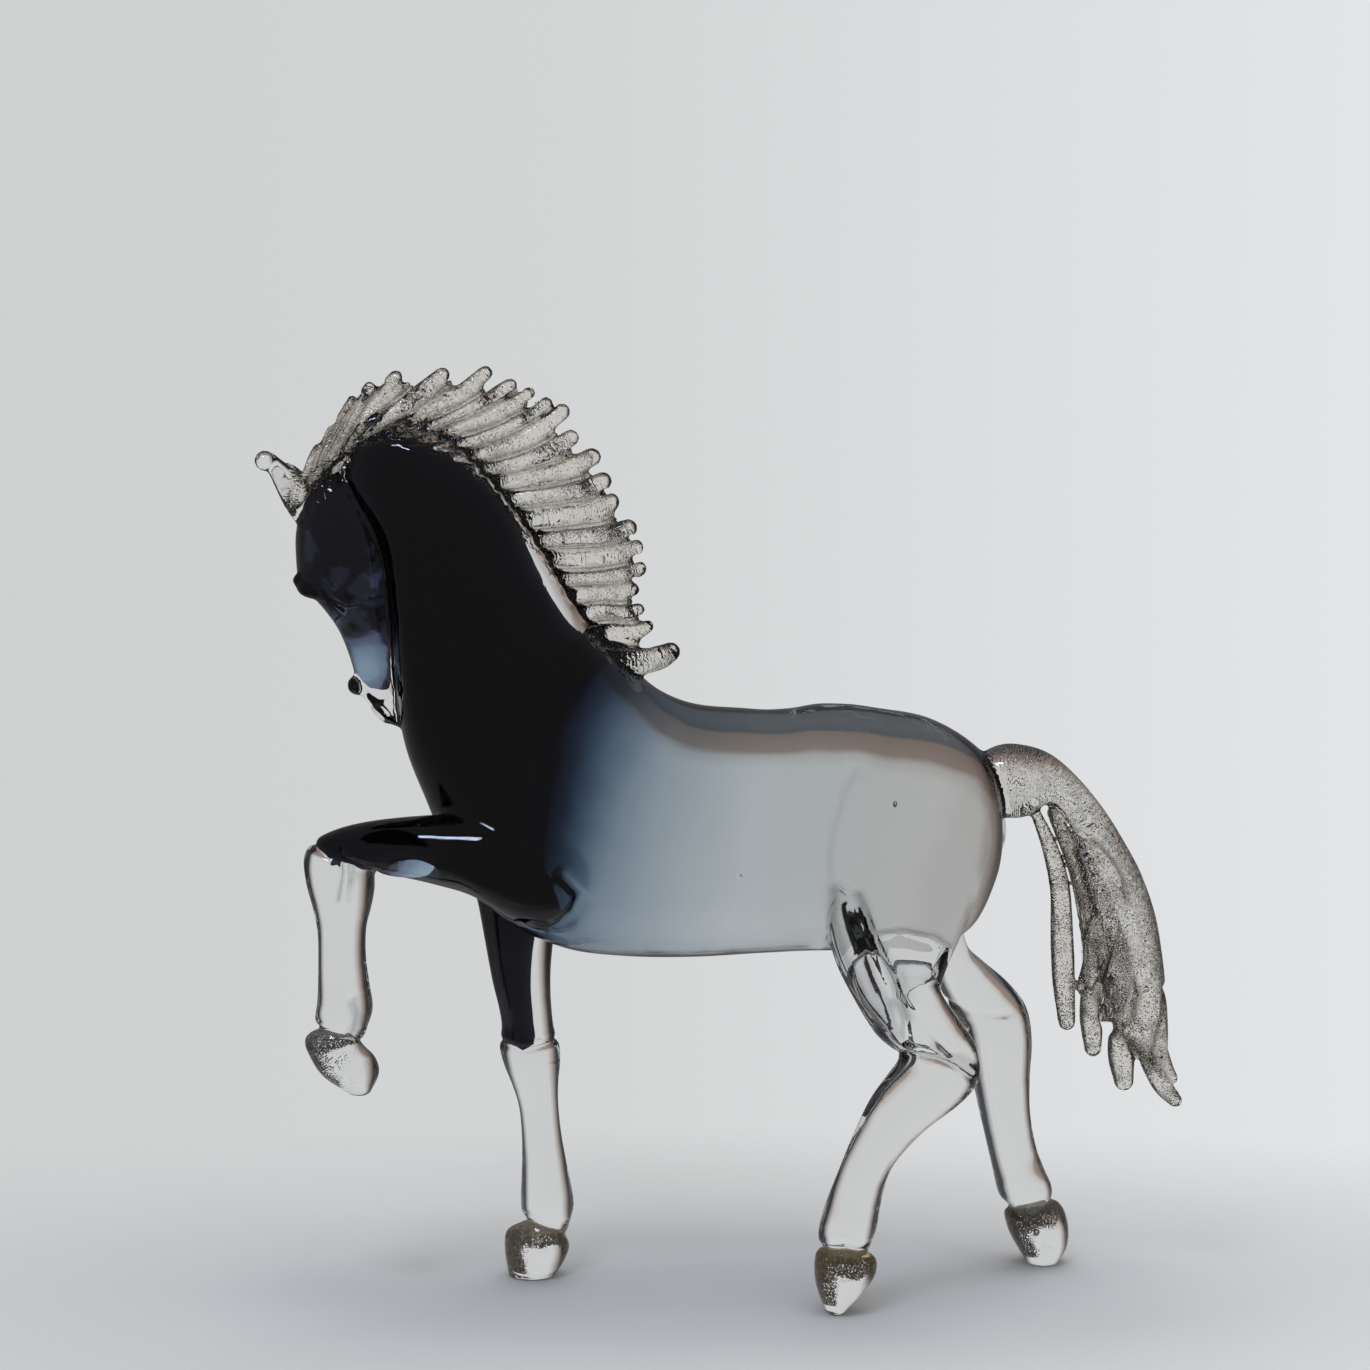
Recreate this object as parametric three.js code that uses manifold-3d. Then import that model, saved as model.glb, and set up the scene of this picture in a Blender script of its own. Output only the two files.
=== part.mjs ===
// A hot-worked solid glass horse, stepping with its near foreleg raised.
// It faces -X, its left flank is towards -Y, and it stands on Z = 0. Millimetres.
// Each mass of glass was gathered, pulled and fused to the next one while hot, so the whole figure is one solid.
import * as THREE from "three";
import Module from "manifold-3d";

const wasm = await Module();
wasm.setup();

// Driving sizes
const HEIGHT = 350; // ground to the top of the mane
const BARREL_WIDTH = 74; // flank to flank
const NECK_WIDTH = 48; // across the neck at half its length
const HEAD_WIDTH = 37; // across the brow
const LEG_WIDTH = 19; // across a cannon, seen from the front
const HIND_STANCE = 59; // between the middles of the hind hooves, across the figure
const FORE_OFFSET = 13; // the standing fore hoof's distance from the middle plane
const ARM_OFFSET = 24; // the raised foreleg's distance from the middle plane
const MANE_THICKNESS = 16; // across the mane at its roots
const LOCK_WIDTH = 10; // one lock of the mane, seen from the side
const LOCK_COUNT = 21; // along the mane
const TAIL_THICKNESS = 21; // across the tail
const EAR_THICKNESS = 7; // across one ear at its base
const EAR_BALL = 7; // diameter of the bead at an ear's tip
const NOSTRIL_BALL = 7; // diameter of the bead that makes a nostril
const HEAD_TURN = 10; // degrees that the head turns away from the near side

// The outlines below were drawn at this height, and are scaled from it.
const DRAWN_HEIGHT = 350;
const scale = HEIGHT / DRAWN_HEIGHT;

const lerp = THREE.MathUtils.lerp;
const moved = (point, direction, length) => point.clone().addScaledVector(direction, length);
const scaled = (list, factor) => list.map((value) => value * factor);
const drawn = (list) => list.map(([x, z]) => new THREE.Vector2(x, z).multiplyScalar(scale));
const both = (make) => [-1, 1].flatMap(make);

// A list of values as a smooth function of the share, 0 to 1, of the way along it.
function profile(values) {
  const curve = new THREE.SplineCurve(values.map((value, i) => new THREE.Vector2(i, value)));
  return (share) => curve.getPoint(share).y;
}

// An oval loop round a section's middle.
function loop({ middle, tall, wide }, sides) {
  return Array.from({ length: sides }, (_, i) => {
    const angle = (2 * Math.PI * i) / sides;
    return moved(moved(middle, tall, Math.cos(angle)), wide, Math.sin(angle));
  });
}

// The rounded end of a stack of sections: one smaller loop, and the pole past it.
function dome(section, inner, depth, sides) {
  const outward = new THREE.Vector3().crossVectors(section.tall, section.wide).normalize();
  if (outward.dot(moved(section.middle, inner.middle, -1)) < 0) outward.negate();
  const angle = Math.PI / 4;
  const ring = loop({
    middle: moved(section.middle, outward, depth * Math.sin(angle)),
    tall: section.tall.clone().multiplyScalar(Math.cos(angle)),
    wide: section.wide.clone().multiplyScalar(Math.cos(angle)),
  }, sides);
  return { ring, pole: moved(section.middle, outward, depth) };
}

// Oval sections stacked into one closed solid with rounded ends.
function stack(sections, domes, sides) {
  const start = dome(sections[0], sections[1], domes[0], sides);
  const end = dome(sections.at(-1), sections.at(-2), domes[1], sides);
  return skinned([start.ring, ...sections.map((s) => loop(s, sides)), end.ring], start.pole, end.pole);
}

// The closed solid whose skin runs from one pole over a row of rings, each with as many points, to the other.
function skinned(rings, startPole, endPole) {
  const sides = rings[0].length;
  const vertices = [...rings.flat(), startPole, endPole];
  const last = (rings.length - 1) * sides;
  const faces = [];
  for (let side = 0; side < sides; side++) {
    const next = (side + 1) % sides;
    faces.push([vertices.length - 2, next, side], [vertices.length - 1, last + side, last + next]);
    for (let ring = 0; ring < last; ring += sides) {
      faces.push([ring + side, ring + next, ring + sides + next]);
      faces.push([ring + side, ring + sides + next, ring + sides + side]);
    }
  }
  return solid(vertices, faces);
}

// A closed skin as a solid, turned to face outwards.
function solid(vertices, faces) {
  const volume = faces.reduce((total, [a, b, c]) =>
    total + vertices[a].dot(new THREE.Vector3().crossVectors(vertices[b], vertices[c])), 0);
  const outward = volume > 0 ? faces : faces.map(([a, b, c]) => [a, c, b]);
  return new wasm.Manifold(new wasm.Mesh({
    numProp: 3,
    vertProperties: new Float32Array(vertices.flatMap((vertex) => vertex.toArray())),
    triVerts: new Uint32Array(outward.flat()),
  }));
}

const fused = (solids) => solids.reduce((whole, piece) => whole.add(piece));

// A gather of glass between two edges, drawn in side view. Widths are half across, for as many stations as
// the edges have, and side gives how far from the middle plane a height lies.
function gather({ front, back, widths, side = () => 0, domes }, rings, sides) {
  const edge = (list) => new THREE.CatmullRomCurve3(
    drawn(list).map(({ x, y: z }) => new THREE.Vector3(x, side(z), z)), false, "catmullrom");
  const edges = [edge(front), edge(back)];
  const width = profile(widths);
  const sections = Array.from({ length: rings }, (_, i) => {
    const share = i / (rings - 1);
    const [a, b] = edges.map((curve) => curve.getPoint(share));
    return {
      middle: a.clone().lerp(b, 0.5),
      tall: moved(a, b, -1).multiplyScalar(0.5),
      wide: new THREE.Vector3(0, width(share), 0),
    };
  });
  return stack(sections, domes, sides);
}

// A pulled lock: an oval thread along a path, with its half widths in side view and its half depths across.
function lock({ path, widths, depths }, rings, sides) {
  const curve = new THREE.CatmullRomCurve3(path, false, "catmullrom");
  const width = profile(widths);
  const depth = profile(depths);
  const sections = Array.from({ length: rings }, (_, i) => {
    const share = i / (rings - 1);
    const along = curve.getTangent(share);
    const tall = new THREE.Vector3(-along.z, 0, along.x).normalize();
    const wide = new THREE.Vector3().crossVectors(along, tall).normalize();
    return {
      middle: curve.getPoint(share),
      tall: tall.multiplyScalar(width(share)),
      wide: wide.multiplyScalar(depth(share)),
    };
  });
  return stack(sections, [widths[0], widths.at(-1)], sides);
}

// A drop of glass, an egg of the given half sizes.
function drop(x, y, z, [alongX, acrossY, alongZ]) {
  const rows = [36, 72, 108, 144].map((degrees) => THREE.MathUtils.degToRad(degrees));
  const at = new THREE.Vector3(x * scale, y, z * scale);
  const up = new THREE.Vector3(0, 0, alongZ);
  const rings = rows.map((angle) => loop({
    middle: moved(at, up, Math.cos(angle)),
    tall: new THREE.Vector3(alongX * Math.sin(angle), 0, 0),
    wide: new THREE.Vector3(0, acrossY * Math.sin(angle), 0),
  }, 8));
  return skinned(rings, moved(at, up, 1), moved(at, up, -1));
}

// Belly, chest and neck: one great gather, drawn from the rump forward and up to the poll.
function body() {
  return gather({
    front: [
      [102.5, 176], [100, 197], [92, 208.5], [75, 218.5], [56, 222], [34, 223], [11.5, 222.5], [-11, 223.5],
      [-26, 229], [-37, 238.5], [-46, 248], [-57.5, 263.5], [-68.5, 283], [-79.5, 300], [-90.5, 313.5],
      [-103, 324], [-118, 329.5], [-132.5, 328], [-144, 318.5],
    ],
    back: [
      [102.5, 171], [99.5, 157], [91, 140], [76, 132], [57, 130.5], [34.5, 131], [12, 130], [-14.5, 128.5],
      [-41, 129], [-63.5, 132.5], [-86, 144], [-104, 167], [-114, 189.5], [-121, 208.5], [-124, 229],
      [-125.5, 251.5], [-128, 278], [-137, 296], [-142, 303.5],
    ],
    widths: [
      ...scaled([0.12, 0.56, 0.8, 0.95, 1, 0.96, 0.93, 0.95, 0.98, 0.97, 0.92], BARREL_WIDTH / 2),
      ...scaled([1.25, 1.12, 1, 0.9, 0.8, 0.7, 0.5, 0.2], NECK_WIDTH / 2),
    ],
    domes: [1, 2],
  }, 32, 22);
}

// The masses that swell out of the flanks above the legs.
function haunch(sign) {
  return gather({
    front: [[55, 206], [46, 191], [38, 173], [36, 154]],
    back: [[84, 205], [94, 190], [95, 168], [86, 146]],
    widths: scaled([0.27, 0.46, 0.49, 0.35], BARREL_WIDTH / 2),
    side: () => sign * BARREL_WIDTH * 0.3,
    domes: [5, 6],
  }, 6, 12);
}

function shoulder(sign) {
  return gather({
    front: [[-84, 222], [-98, 200], [-99, 178], [-86, 158]],
    back: [[-62, 222], [-58, 200], [-52, 178], [-50, 160]],
    widths: scaled([0.22, 0.33, 0.4, 0.32], BARREL_WIDTH / 2),
    side: () => sign * BARREL_WIDTH * 0.27,
    domes: [5, 5],
  }, 6, 12);
}

// Each leg is one gather, from inside the body down to the toe.
function leg({ front, back, widths, hip, hipHeight, foot }, rings) {
  const side = (z) => lerp(foot, hip, Math.min(z / (hipHeight * scale), 1));
  return gather({ front, back, widths: scaled(widths, LEG_WIDTH / 2), side, domes: [4, 1] }, rings, 10);
}

const nearHindLeg = () => leg({
  front: [
    [40, 172], [36, 157], [35.5, 146], [39, 131], [46, 117], [54, 104], [61.5, 97.5], [62.5, 94], [59, 89],
    [52, 79], [46, 66], [40, 51], [35, 38], [33, 29], [34.5, 24.5], [33, 19], [33.5, 12], [35, 5.5], [38, -1],
  ],
  back: [
    [79, 169], [82, 140], [78, 129], [78, 120.5], [84.5, 110], [90.5, 101.5], [92.5, 95], [93, 90], [91.5, 84.5],
    [85, 77.5], [72, 67.5], [61, 55], [57, 43.5], [55, 31.5], [53, 24], [56, 19], [56, 13.5], [53, 8], [47, 0.5],
  ],
  widths: [1.5, 1.6, 1.5, 1.35, 1.2, 1.1, 1.05, 1.1, 1.15, 1.15, 1.05, 1, 0.95, 1, 0.92, 1.05, 1.1, 0.98, 0.6],
  hip: -BARREL_WIDTH * 0.27,
  hipHeight: 170,
  foot: -HIND_STANCE / 2,
}, 28);

const farHindLeg = () => leg({
  front: [
    [64, 158], [73, 140], [79.5, 124], [81, 114], [84.5, 105], [90, 97], [92.5, 87], [96, 70], [100, 53],
    [103.5, 38.5], [106, 28], [109, 23.5], [108.5, 19], [110.5, 12], [114, 5.5], [118, -1],
  ],
  back: [
    [93, 158], [90, 142], [92, 128], [98, 121.5], [108, 113], [115.5, 103], [118, 90], [117.5, 75], [118, 60],
    [121, 45], [126.5, 32], [128, 26], [132, 21], [134, 13.5], [133.5, 6], [130, -0.5],
  ],
  widths: [1.5, 1.45, 1.3, 1.2, 1.1, 1.08, 1.12, 1.05, 1, 0.95, 1, 0.92, 1.05, 1.1, 1.05, 0.75],
  hip: BARREL_WIDTH * 0.27,
  hipHeight: 170,
  foot: HIND_STANCE / 2,
}, 26);

const standingForeleg = () => leg({
  front: [
    [-96, 172], [-99, 158], [-96, 146], [-93.5, 132], [-90.5, 115], [-88, 104.5], [-87, 97], [-88, 91],
    [-86.5, 83.5], [-83, 74.5], [-80.5, 66], [-79.5, 55], [-79.5, 44], [-80, 28], [-78.5, 20], [-83.5, 15.5],
    [-85.5, 9], [-85, 4.5], [-80.5, -0.8],
  ],
  back: [
    [-56, 170], [-60, 154], [-65.5, 141], [-67, 130], [-68, 119], [-68, 108], [-67, 97], [-65, 91], [-64.5, 84],
    [-65.3, 75], [-65.3, 66], [-64.2, 55], [-62.3, 44], [-59.5, 28], [-62.5, 18.5], [-61, 15], [-59.5, 10],
    [-60.5, 6.5], [-67, 0],
  ],
  widths: [1.5, 1.45, 1.3, 1.15, 1.08, 1.05, 1, 1.1, 1.15, 1.05, 0.95, 0.92, 0.93, 1, 0.9, 1.05, 1.1, 1.07, 0.65],
  hip: BARREL_WIDTH * 0.24,
  hipHeight: 165,
  foot: FORE_OFFSET,
}, 28);

const raisedForeleg = () => leg({
  front: [
    [-50, 184], [-72, 186.5], [-92, 187], [-108, 186], [-121, 185], [-133, 183.5], [-143.5, 181], [-152, 177],
    [-156.5, 171], [-156, 161], [-153.5, 151], [-152, 142], [-152, 128.5], [-152.5, 117], [-153.5, 110],
    [-152.5, 106], [-155.5, 102], [-155, 96], [-152, 90], [-146, 84.5],
  ],
  back: [
    [-42, 156], [-54, 146], [-66, 142.5], [-78, 146], [-93, 155.5], [-107, 160], [-119.5, 163], [-128, 165],
    [-130.5, 164.5], [-130.7, 159], [-132, 152], [-134, 144], [-134.3, 133], [-133, 122], [-132, 113.5],
    [-134.5, 105.5], [-131.5, 99.5], [-129, 93.5], [-128.5, 88], [-132.5, 82],
  ],
  widths: [
    1.1, 1.6, 1.85, 1.75, 1.5, 1.35, 1.22, 1.12, 1.12, 1.1, 1, 0.95, 0.92, 0.95, 1, 0.92, 1.02, 1.1, 1.02, 0.65,
  ],
  hip: -ARM_OFFSET,
  hipHeight: 165,
  foot: -ARM_OFFSET,
}, 30);

// Head from the poll to the lips, with pinched brows over the sockets, nostrils and a jaw.
function head() {
  const brow = HEAD_WIDTH / 2;
  const skull = gather({
    front: [
      [-149, 312], [-157, 301], [-161, 290], [-161.5, 280], [-160, 270], [-152.5, 262], [-146.5, 254],
      [-142.5, 245], [-140, 237], [-138, 230], [-134, 225],
    ],
    back: [
      [-143, 313], [-136, 304.5], [-127.5, 291], [-123.5, 274], [-122.5, 259], [-122.5, 246], [-123.5, 237.5],
      [-124, 230], [-124.5, 223.5], [-124.5, 218], [-126, 216.5],
    ],
    widths: scaled([0.35, 0.72, 0.9, 0.98, 0.98, 0.78, 0.62, 0.53, 0.48, 0.45, 0.28], brow),
    domes: [1, 2],
  }, 15, 14);
  const jaw = gather({
    front: [[-137, 229], [-133.5, 223.5], [-126.5, 217.5]],
    back: [[-126, 231], [-122.5, 224], [-121.5, 216]],
    widths: scaled([0.42, 0.36, 0.16], brow),
    domes: [1, 1],
  }, 4, 8);
  const nostril = NOSTRIL_BALL / 2;
  const features = both((sign) => [
    lock({
      path: [[-158.5, 0.5, 269.5], [-154.5, 0.68, 267], [-149, 0.78, 263]].map(([x, share, z]) =>
        new THREE.Vector3(x * scale, sign * share * brow, z * scale)),
      widths: [2.8, 3.2, 2],
      depths: [3.4, 3.6, 2],
    }, 4, 8),
    drop(-137.5, sign * brow * 0.3, 231.5, [nostril, nostril, nostril]),
  ]);
  const sockets = both((sign) => drop(-149, sign * brow * 1.08, 257, [5, 5, 4.5]));
  return fused([skull.subtract(fused(sockets)), jaw, ...features, ...both(ear)]);
}

// An ear is a pinched leaf that opens forward, with a bead at its tip.
function ear(sign) {
  const side = () => sign * HEAD_WIDTH * 0.2;
  const leaf = gather({
    front: [[-158, 291], [-164, 299], [-168, 306], [-170, 311.5]],
    back: [[-151, 304], [-159, 309], [-165, 313], [-169, 316.5]],
    widths: scaled([1, 0.8, 0.6, 0.5], EAR_THICKNESS / 2),
    side,
    domes: [2, 1],
  }, 6, 8);
  return [leaf, drop(-171.5, side(), 314.5, [EAR_BALL / 2, EAR_BALL / 2, EAR_BALL / 2])];
}

// Where the mane's locks grow and where they end, from the forelock over the poll to the withers.
const MANE_ROOTS = [
  [-157, 304], [-150, 316], [-139.5, 328], [-121, 330], [-107, 325.5], [-94, 319], [-85, 309.5], [-72, 293],
  [-63, 276.5], [-54.5, 261], [-38, 239.5],
];
const MANE_TIPS = [
  [-149.5, 324], [-142, 337], [-122.5, 347], [-88, 348], [-72, 341], [-59, 335], [-47.5, 317.5],
  [-39.5, 299.5], [-30.5, 283.5], [-30, 261], [-18, 245],
];

// Pulled locks side by side along the crest, each of them bent upwards.
function mane() {
  const roots = new THREE.SplineCurve(drawn(MANE_ROOTS));
  const tips = new THREE.SplineCurve(drawn(MANE_TIPS));
  const thick = MANE_THICKNESS / 2;
  return Array.from({ length: LOCK_COUNT }, (_, i) => {
    const share = i / (LOCK_COUNT - 1);
    const root = roots.getPoint(share);
    const along = tips.getPoint(share).sub(root);
    const half = Math.min(LOCK_WIDTH / 2, along.length() / 4);
    const sway = i % 2 ? 1 : -1;
    const at = (reach, sink, depth) => {
      const point = moved(root, along, reach);
      return new THREE.Vector3(point.x, sway * depth, point.y - sink * along.length());
    };
    const tip = 1 - (0.7 * half) / along.length();
    return lock({
      path: [at(0, -0.02, 0), at(0.35, 0.05, 0.6), at(0.7, 0.04, 1), at(tip, 0, 1.4)],
      widths: scaled([1, 1.15, 1.1, 0.75], half),
      depths: scaled([0.9, 1, 0.75, 0.42], thick),
    }, 5, 6);
  });
}

// The tail's locks as paths in side view, with the share of half the tail's thickness that each one stands out
// of the middle plane, and its width.
const TAIL_LOCKS = [
  { path: [[116, 192], [123, 165], [127, 140], [126.5, 120], [128, 102]], depth: -0.35, width: 7.5 },
  { path: [[121, 191], [131, 158], [134, 135], [135, 110], [138.5, 91.5]], depth: 0.35, width: 8.5 },
  { path: [[130, 174], [138, 150], [142, 126], [145, 104], [149, 82]], depth: -0.4, width: 9.5 },
  { path: [[136, 168], [145, 140], [149, 112], [151, 90]], depth: 0.1, width: 8 },
  { path: [[140, 166], [150, 138], [154, 112], [155.5, 91]], depth: 0.4, width: 9 },
  { path: [[149, 156], [156, 125], [160, 96], [170, 72]], depth: -0.15, width: 8 },
  { path: [[157, 140], [162, 118], [164.5, 98], [165.5, 89]], depth: -0.2, width: 8 },
];

// A thick plume that springs from the croup, with pulled locks under it.
function tail() {
  const half = TAIL_THICKNESS / 2;
  const plume = gather({
    front: [
      [90, 203], [101, 208.5], [110.5, 208.5], [120.5, 205], [130.5, 196.5], [140.5, 184.5], [148.5, 172],
      [155, 160], [160.5, 145], [163.5, 130], [165.5, 114], [166.5, 100], [166.5, 87],
    ],
    back: [
      [93, 182], [103, 181], [111.5, 181.5], [118.5, 186], [124, 184], [130.5, 172.5], [136, 157], [141, 142],
      [145, 126], [148.5, 111], [152, 99], [156, 90], [161, 84],
    ],
    widths: scaled([0.9, 1.15, 1.15, 1, 1, 1, 1, 0.95, 0.85, 0.75, 0.65, 0.5, 0.3], half),
    domes: [2, 1],
  }, 16, 10);
  return [plume, ...TAIL_LOCKS.map(({ path, depth, width }) => lock({
    path: drawn(path).map(({ x, y: z }) => new THREE.Vector3(x, depth * half, z)),
    widths: scaled([0.5, 0.9, 1, 0.85, 0.6], width / 2),
    depths: scaled([0.5, 0.9, 1, 0.85, 0.6], width * 0.43),
  }, 7, 6))];
}

// A closed box between two corners.
function box(low, high) {
  const corner = (i) => new THREE.Vector3(...[0, 1, 2].map((axis) => ((i >> axis) & 1 ? high : low)[axis]));
  const quads = [[0, 2, 3, 1], [4, 5, 7, 6], [0, 1, 5, 4], [2, 6, 7, 3], [0, 4, 6, 2], [1, 3, 7, 5]];
  return solid(Array.from({ length: 8 }, (_, i) => corner(i)), quads.flatMap(([a, b, c, d]) => [[a, b, c], [a, c, d]]));
}

// The mesh of a solid, as a geometry.
function geometryOf(made) {
  const { vertProperties, triVerts } = made.getMesh();
  return new THREE.BufferGeometry()
    .setAttribute("position", new THREE.BufferAttribute(vertProperties, 3))
    .setIndex(new THREE.BufferAttribute(triVerts, 1));
}

// A geometry as a solid.
function solidOf(geometry) {
  return new wasm.Manifold(new wasm.Mesh({
    numProp: 3,
    vertProperties: geometry.getAttribute("position").array,
    triVerts: geometry.index.array,
  }));
}

// The head turns about an upright line through the poll.
function turnedHead() {
  const poll = -128 * scale;
  const geometry = geometryOf(head())
    .translate(-poll, 0, 0)
    .rotateZ(THREE.MathUtils.degToRad(-HEAD_TURN))
    .translate(poll, 0, 0);
  return solidOf(geometry);
}

// Everything fused, then ground flat under the hooves, and centred on its own box.
function horse() {
  const whole = fused([
    body(), ...both(haunch), ...both(shoulder),
    nearHindLeg(), farHindLeg(), standingForeleg(), raisedForeleg(),
    turnedHead(), ...mane(), ...tail(),
  ]);
  const underfoot = box([-HEIGHT, -HEIGHT, -HEIGHT], [HEIGHT, HEIGHT, 0]);
  const geometry = geometryOf(whole.subtract(underfoot));
  geometry.computeBoundingBox();
  const { min, max } = geometry.boundingBox;
  geometry.translate(-(min.x + max.x) / 2, -(min.y + max.y) / 2, -min.z);
  geometry.computeVertexNormals();
  return geometry;
}

const glass = new THREE.MeshStandardMaterial({ color: 0x5c6672, roughness: 0.04, metalness: 0 });
const figure = new THREE.Mesh(horse(), glass);
figure.name = "glass_horse";

const group = new THREE.Group();
group.add(figure);
export default group;
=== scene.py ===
# A hot-worked solid glass horse: clear glass over a blue-black core, with silver leaf in the mane and the tail.
# It faces -X, its left flank is towards -Y, and it stands on Z = 0. Outlines are in millimetres, the scene in metres.
import math
from collections import namedtuple

import bpy
import numpy as np
from mathutils import Matrix, Vector, kdtree


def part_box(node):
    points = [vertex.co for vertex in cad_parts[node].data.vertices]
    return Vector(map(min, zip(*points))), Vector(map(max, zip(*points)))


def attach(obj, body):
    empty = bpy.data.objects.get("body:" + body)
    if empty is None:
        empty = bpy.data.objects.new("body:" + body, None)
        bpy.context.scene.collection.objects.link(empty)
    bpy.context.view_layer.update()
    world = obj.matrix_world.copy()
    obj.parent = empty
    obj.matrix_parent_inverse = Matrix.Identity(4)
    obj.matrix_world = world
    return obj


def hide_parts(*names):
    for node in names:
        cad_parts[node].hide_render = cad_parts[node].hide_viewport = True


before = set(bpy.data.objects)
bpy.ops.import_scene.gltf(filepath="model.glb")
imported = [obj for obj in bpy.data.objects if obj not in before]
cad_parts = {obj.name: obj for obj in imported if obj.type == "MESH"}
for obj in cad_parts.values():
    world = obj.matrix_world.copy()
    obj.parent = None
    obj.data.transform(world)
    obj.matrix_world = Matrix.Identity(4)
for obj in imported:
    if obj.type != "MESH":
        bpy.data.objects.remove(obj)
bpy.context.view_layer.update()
bpy.ops.object.select_all(action="DESELECT")

# Driving sizes
MM = 0.001
CENTRING = Vector((1.59, 0.1, 0))  # the outlines were drawn this far from the middle of their own box
BARREL_WIDTH = 74
NECK_WIDTH = 48
HEAD_WIDTH = 37
LEG_WIDTH = 19
HIND_STANCE = 59
FORE_OFFSET = 13
ARM_OFFSET = 24
MANE_THICKNESS = 16
TAIL_THICKNESS = 21
EAR_THICKNESS = 8
BEAD = 3.8  # half across an ear's or a nostril's bead
HEAD_TURN = 10  # degrees
POLL = -128
FUSING_GRAIN = 1.0  # the finest fold that is left between two masses fused together

# One oval cut through a drawn mass: its middle, how far its long way leans, and half its size each way.
Section = namedtuple("Section", "middle turn tall wide")


# Drawing out glass

def on_curve(points, share):
    """The place on a smooth curve through points, which may be numbers, at a share from 0 to 1."""
    last = len(points) - 1
    place = min(max(share, 0.0), 1.0) * last
    i = min(int(place), last - 1)
    t = place - i
    a, b = points[i], points[i + 1]
    before = points[i - 1] if i > 0 else a * 2 - b
    after = points[i + 2] if i + 2 <= last else b * 2 - a
    start, end = (b - before) * 0.5, (after - a) * 0.5
    return a + start * t + (b * 3 - a * 3 - start * 2 - end) * t**2 + (a * 2 - b * 2 + start + end) * t**3


def flat(points):
    return [Vector((x, 0, z)) for x, z in points]


def times(values, factor):
    return [value * factor for value in values]


def lean(direction):
    return math.atan2(-direction.z, direction.x)


def long_way(section):
    return Vector((math.cos(section.turn), 0, -math.sin(section.turn)))


def through(outline, share):
    """The oval cut through an outline, a front edge, a back edge, half widths and sides, at a share of its length."""
    a = on_curve(flat(outline["front"]), share)
    b = on_curve(flat(outline["back"]), share)
    middle = (a + b) / 2
    middle.y = outline["side"](middle.z)
    return Section(middle, lean(a - b), (a - b).length / 2, on_curve(outline["widths"], share))


def along(outline, count, start=0.0, end=1.0):
    return [through(outline, start + (end - start) * i / (count - 1)) for i in range(count)]


def dome(section, inner, depth, steps=4):
    """The ovals of a rounded end, from the section outwards."""
    way = long_way(section)
    outward = Vector((-way.z, 0, way.x))
    if outward.dot(section.middle - inner.middle) < 0:
        outward.negate()
    angles = [math.pi / 2 * i / (steps + 0.4) for i in range(1, steps + 1)]
    return [
        Section(
            section.middle + outward * depth * math.sin(angle),
            section.turn,
            section.tall * math.cos(angle),
            section.wide * math.cos(angle),
        )
        for angle in angles
    ]


def rounded(sections, start, end):
    """The sections with a dome of the given depth at either end."""
    first = dome(sections[0], sections[1], start)[::-1]
    return first + sections + dome(sections[-1], sections[-2], end)


def drawn_out(name, sections, sides):
    """A mass drawn out of one disc of glass: each section is extruded from the last, then turned and stretched."""
    placed = [
        Section((s.middle + CENTRING) * MM, s.turn, max(s.tall, 0.02) * MM, max(s.wide, 0.02) * MM) for s in sections
    ]
    first = placed[0]
    bpy.ops.mesh.primitive_circle_add(
        vertices=sides, radius=1, fill_type="NGON", location=first.middle, rotation=(0, first.turn, 0)
    )
    piece = bpy.context.object
    piece.name = name
    piece.scale = (first.tall, first.wide, 1)
    bpy.ops.object.transform_apply()
    bpy.ops.object.mode_set(mode="EDIT")
    for old, new in zip(placed, placed[1:]):
        turn = (new.turn - old.turn + math.pi) % (2 * math.pi) - math.pi
        bpy.ops.mesh.extrude_region_move(TRANSFORM_OT_translate={"value": new.middle - old.middle})
        bpy.ops.transform.rotate(value=-turn, orient_axis="Y", center_override=new.middle)
        bpy.ops.transform.resize(
            value=(new.tall / old.tall, new.wide / old.wide, 1),
            orient_type="LOCAL",
            orient_matrix=Matrix.Rotation(new.turn, 3, "Y"),
            orient_matrix_type="LOCAL",
            center_override=new.middle,
        )
    bpy.ops.mesh.select_all(action="SELECT")
    bpy.ops.mesh.normals_make_consistent(inside=False)
    bpy.ops.object.mode_set(mode="OBJECT")
    piece.select_set(False)
    return piece


def thread(path, widths, depths, count=16):
    """The ovals of a pulled lock: half widths in side view, half depths across."""
    points = [Vector(point) for point in path]
    sections = []
    for i in range(count):
        share = i / (count - 1)
        ahead = on_curve(points, min(share + 0.02, 1)) - on_curve(points, max(share - 0.02, 0))
        across = Vector((-ahead.z, 0, ahead.x))
        sections.append(
            Section(on_curve(points, share), lean(across), on_curve(widths, share), on_curve(depths, share))
        )
    return rounded(sections, widths[0], widths[-1])


def drop(name, x, y, z, sizes):
    """A drop of glass: a ball stretched to the given half sizes."""
    at = (Vector((x, y, z)) + CENTRING) * MM
    bpy.ops.mesh.primitive_uv_sphere_add(segments=24, ring_count=16, radius=MM, location=at)
    piece = bpy.context.object
    piece.name = name
    bpy.ops.object.mode_set(mode="EDIT")
    bpy.ops.transform.resize(value=sizes, center_override=at)
    bpy.ops.object.mode_set(mode="OBJECT")
    bpy.ops.object.transform_apply()
    piece.select_set(False)
    return piece


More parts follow.
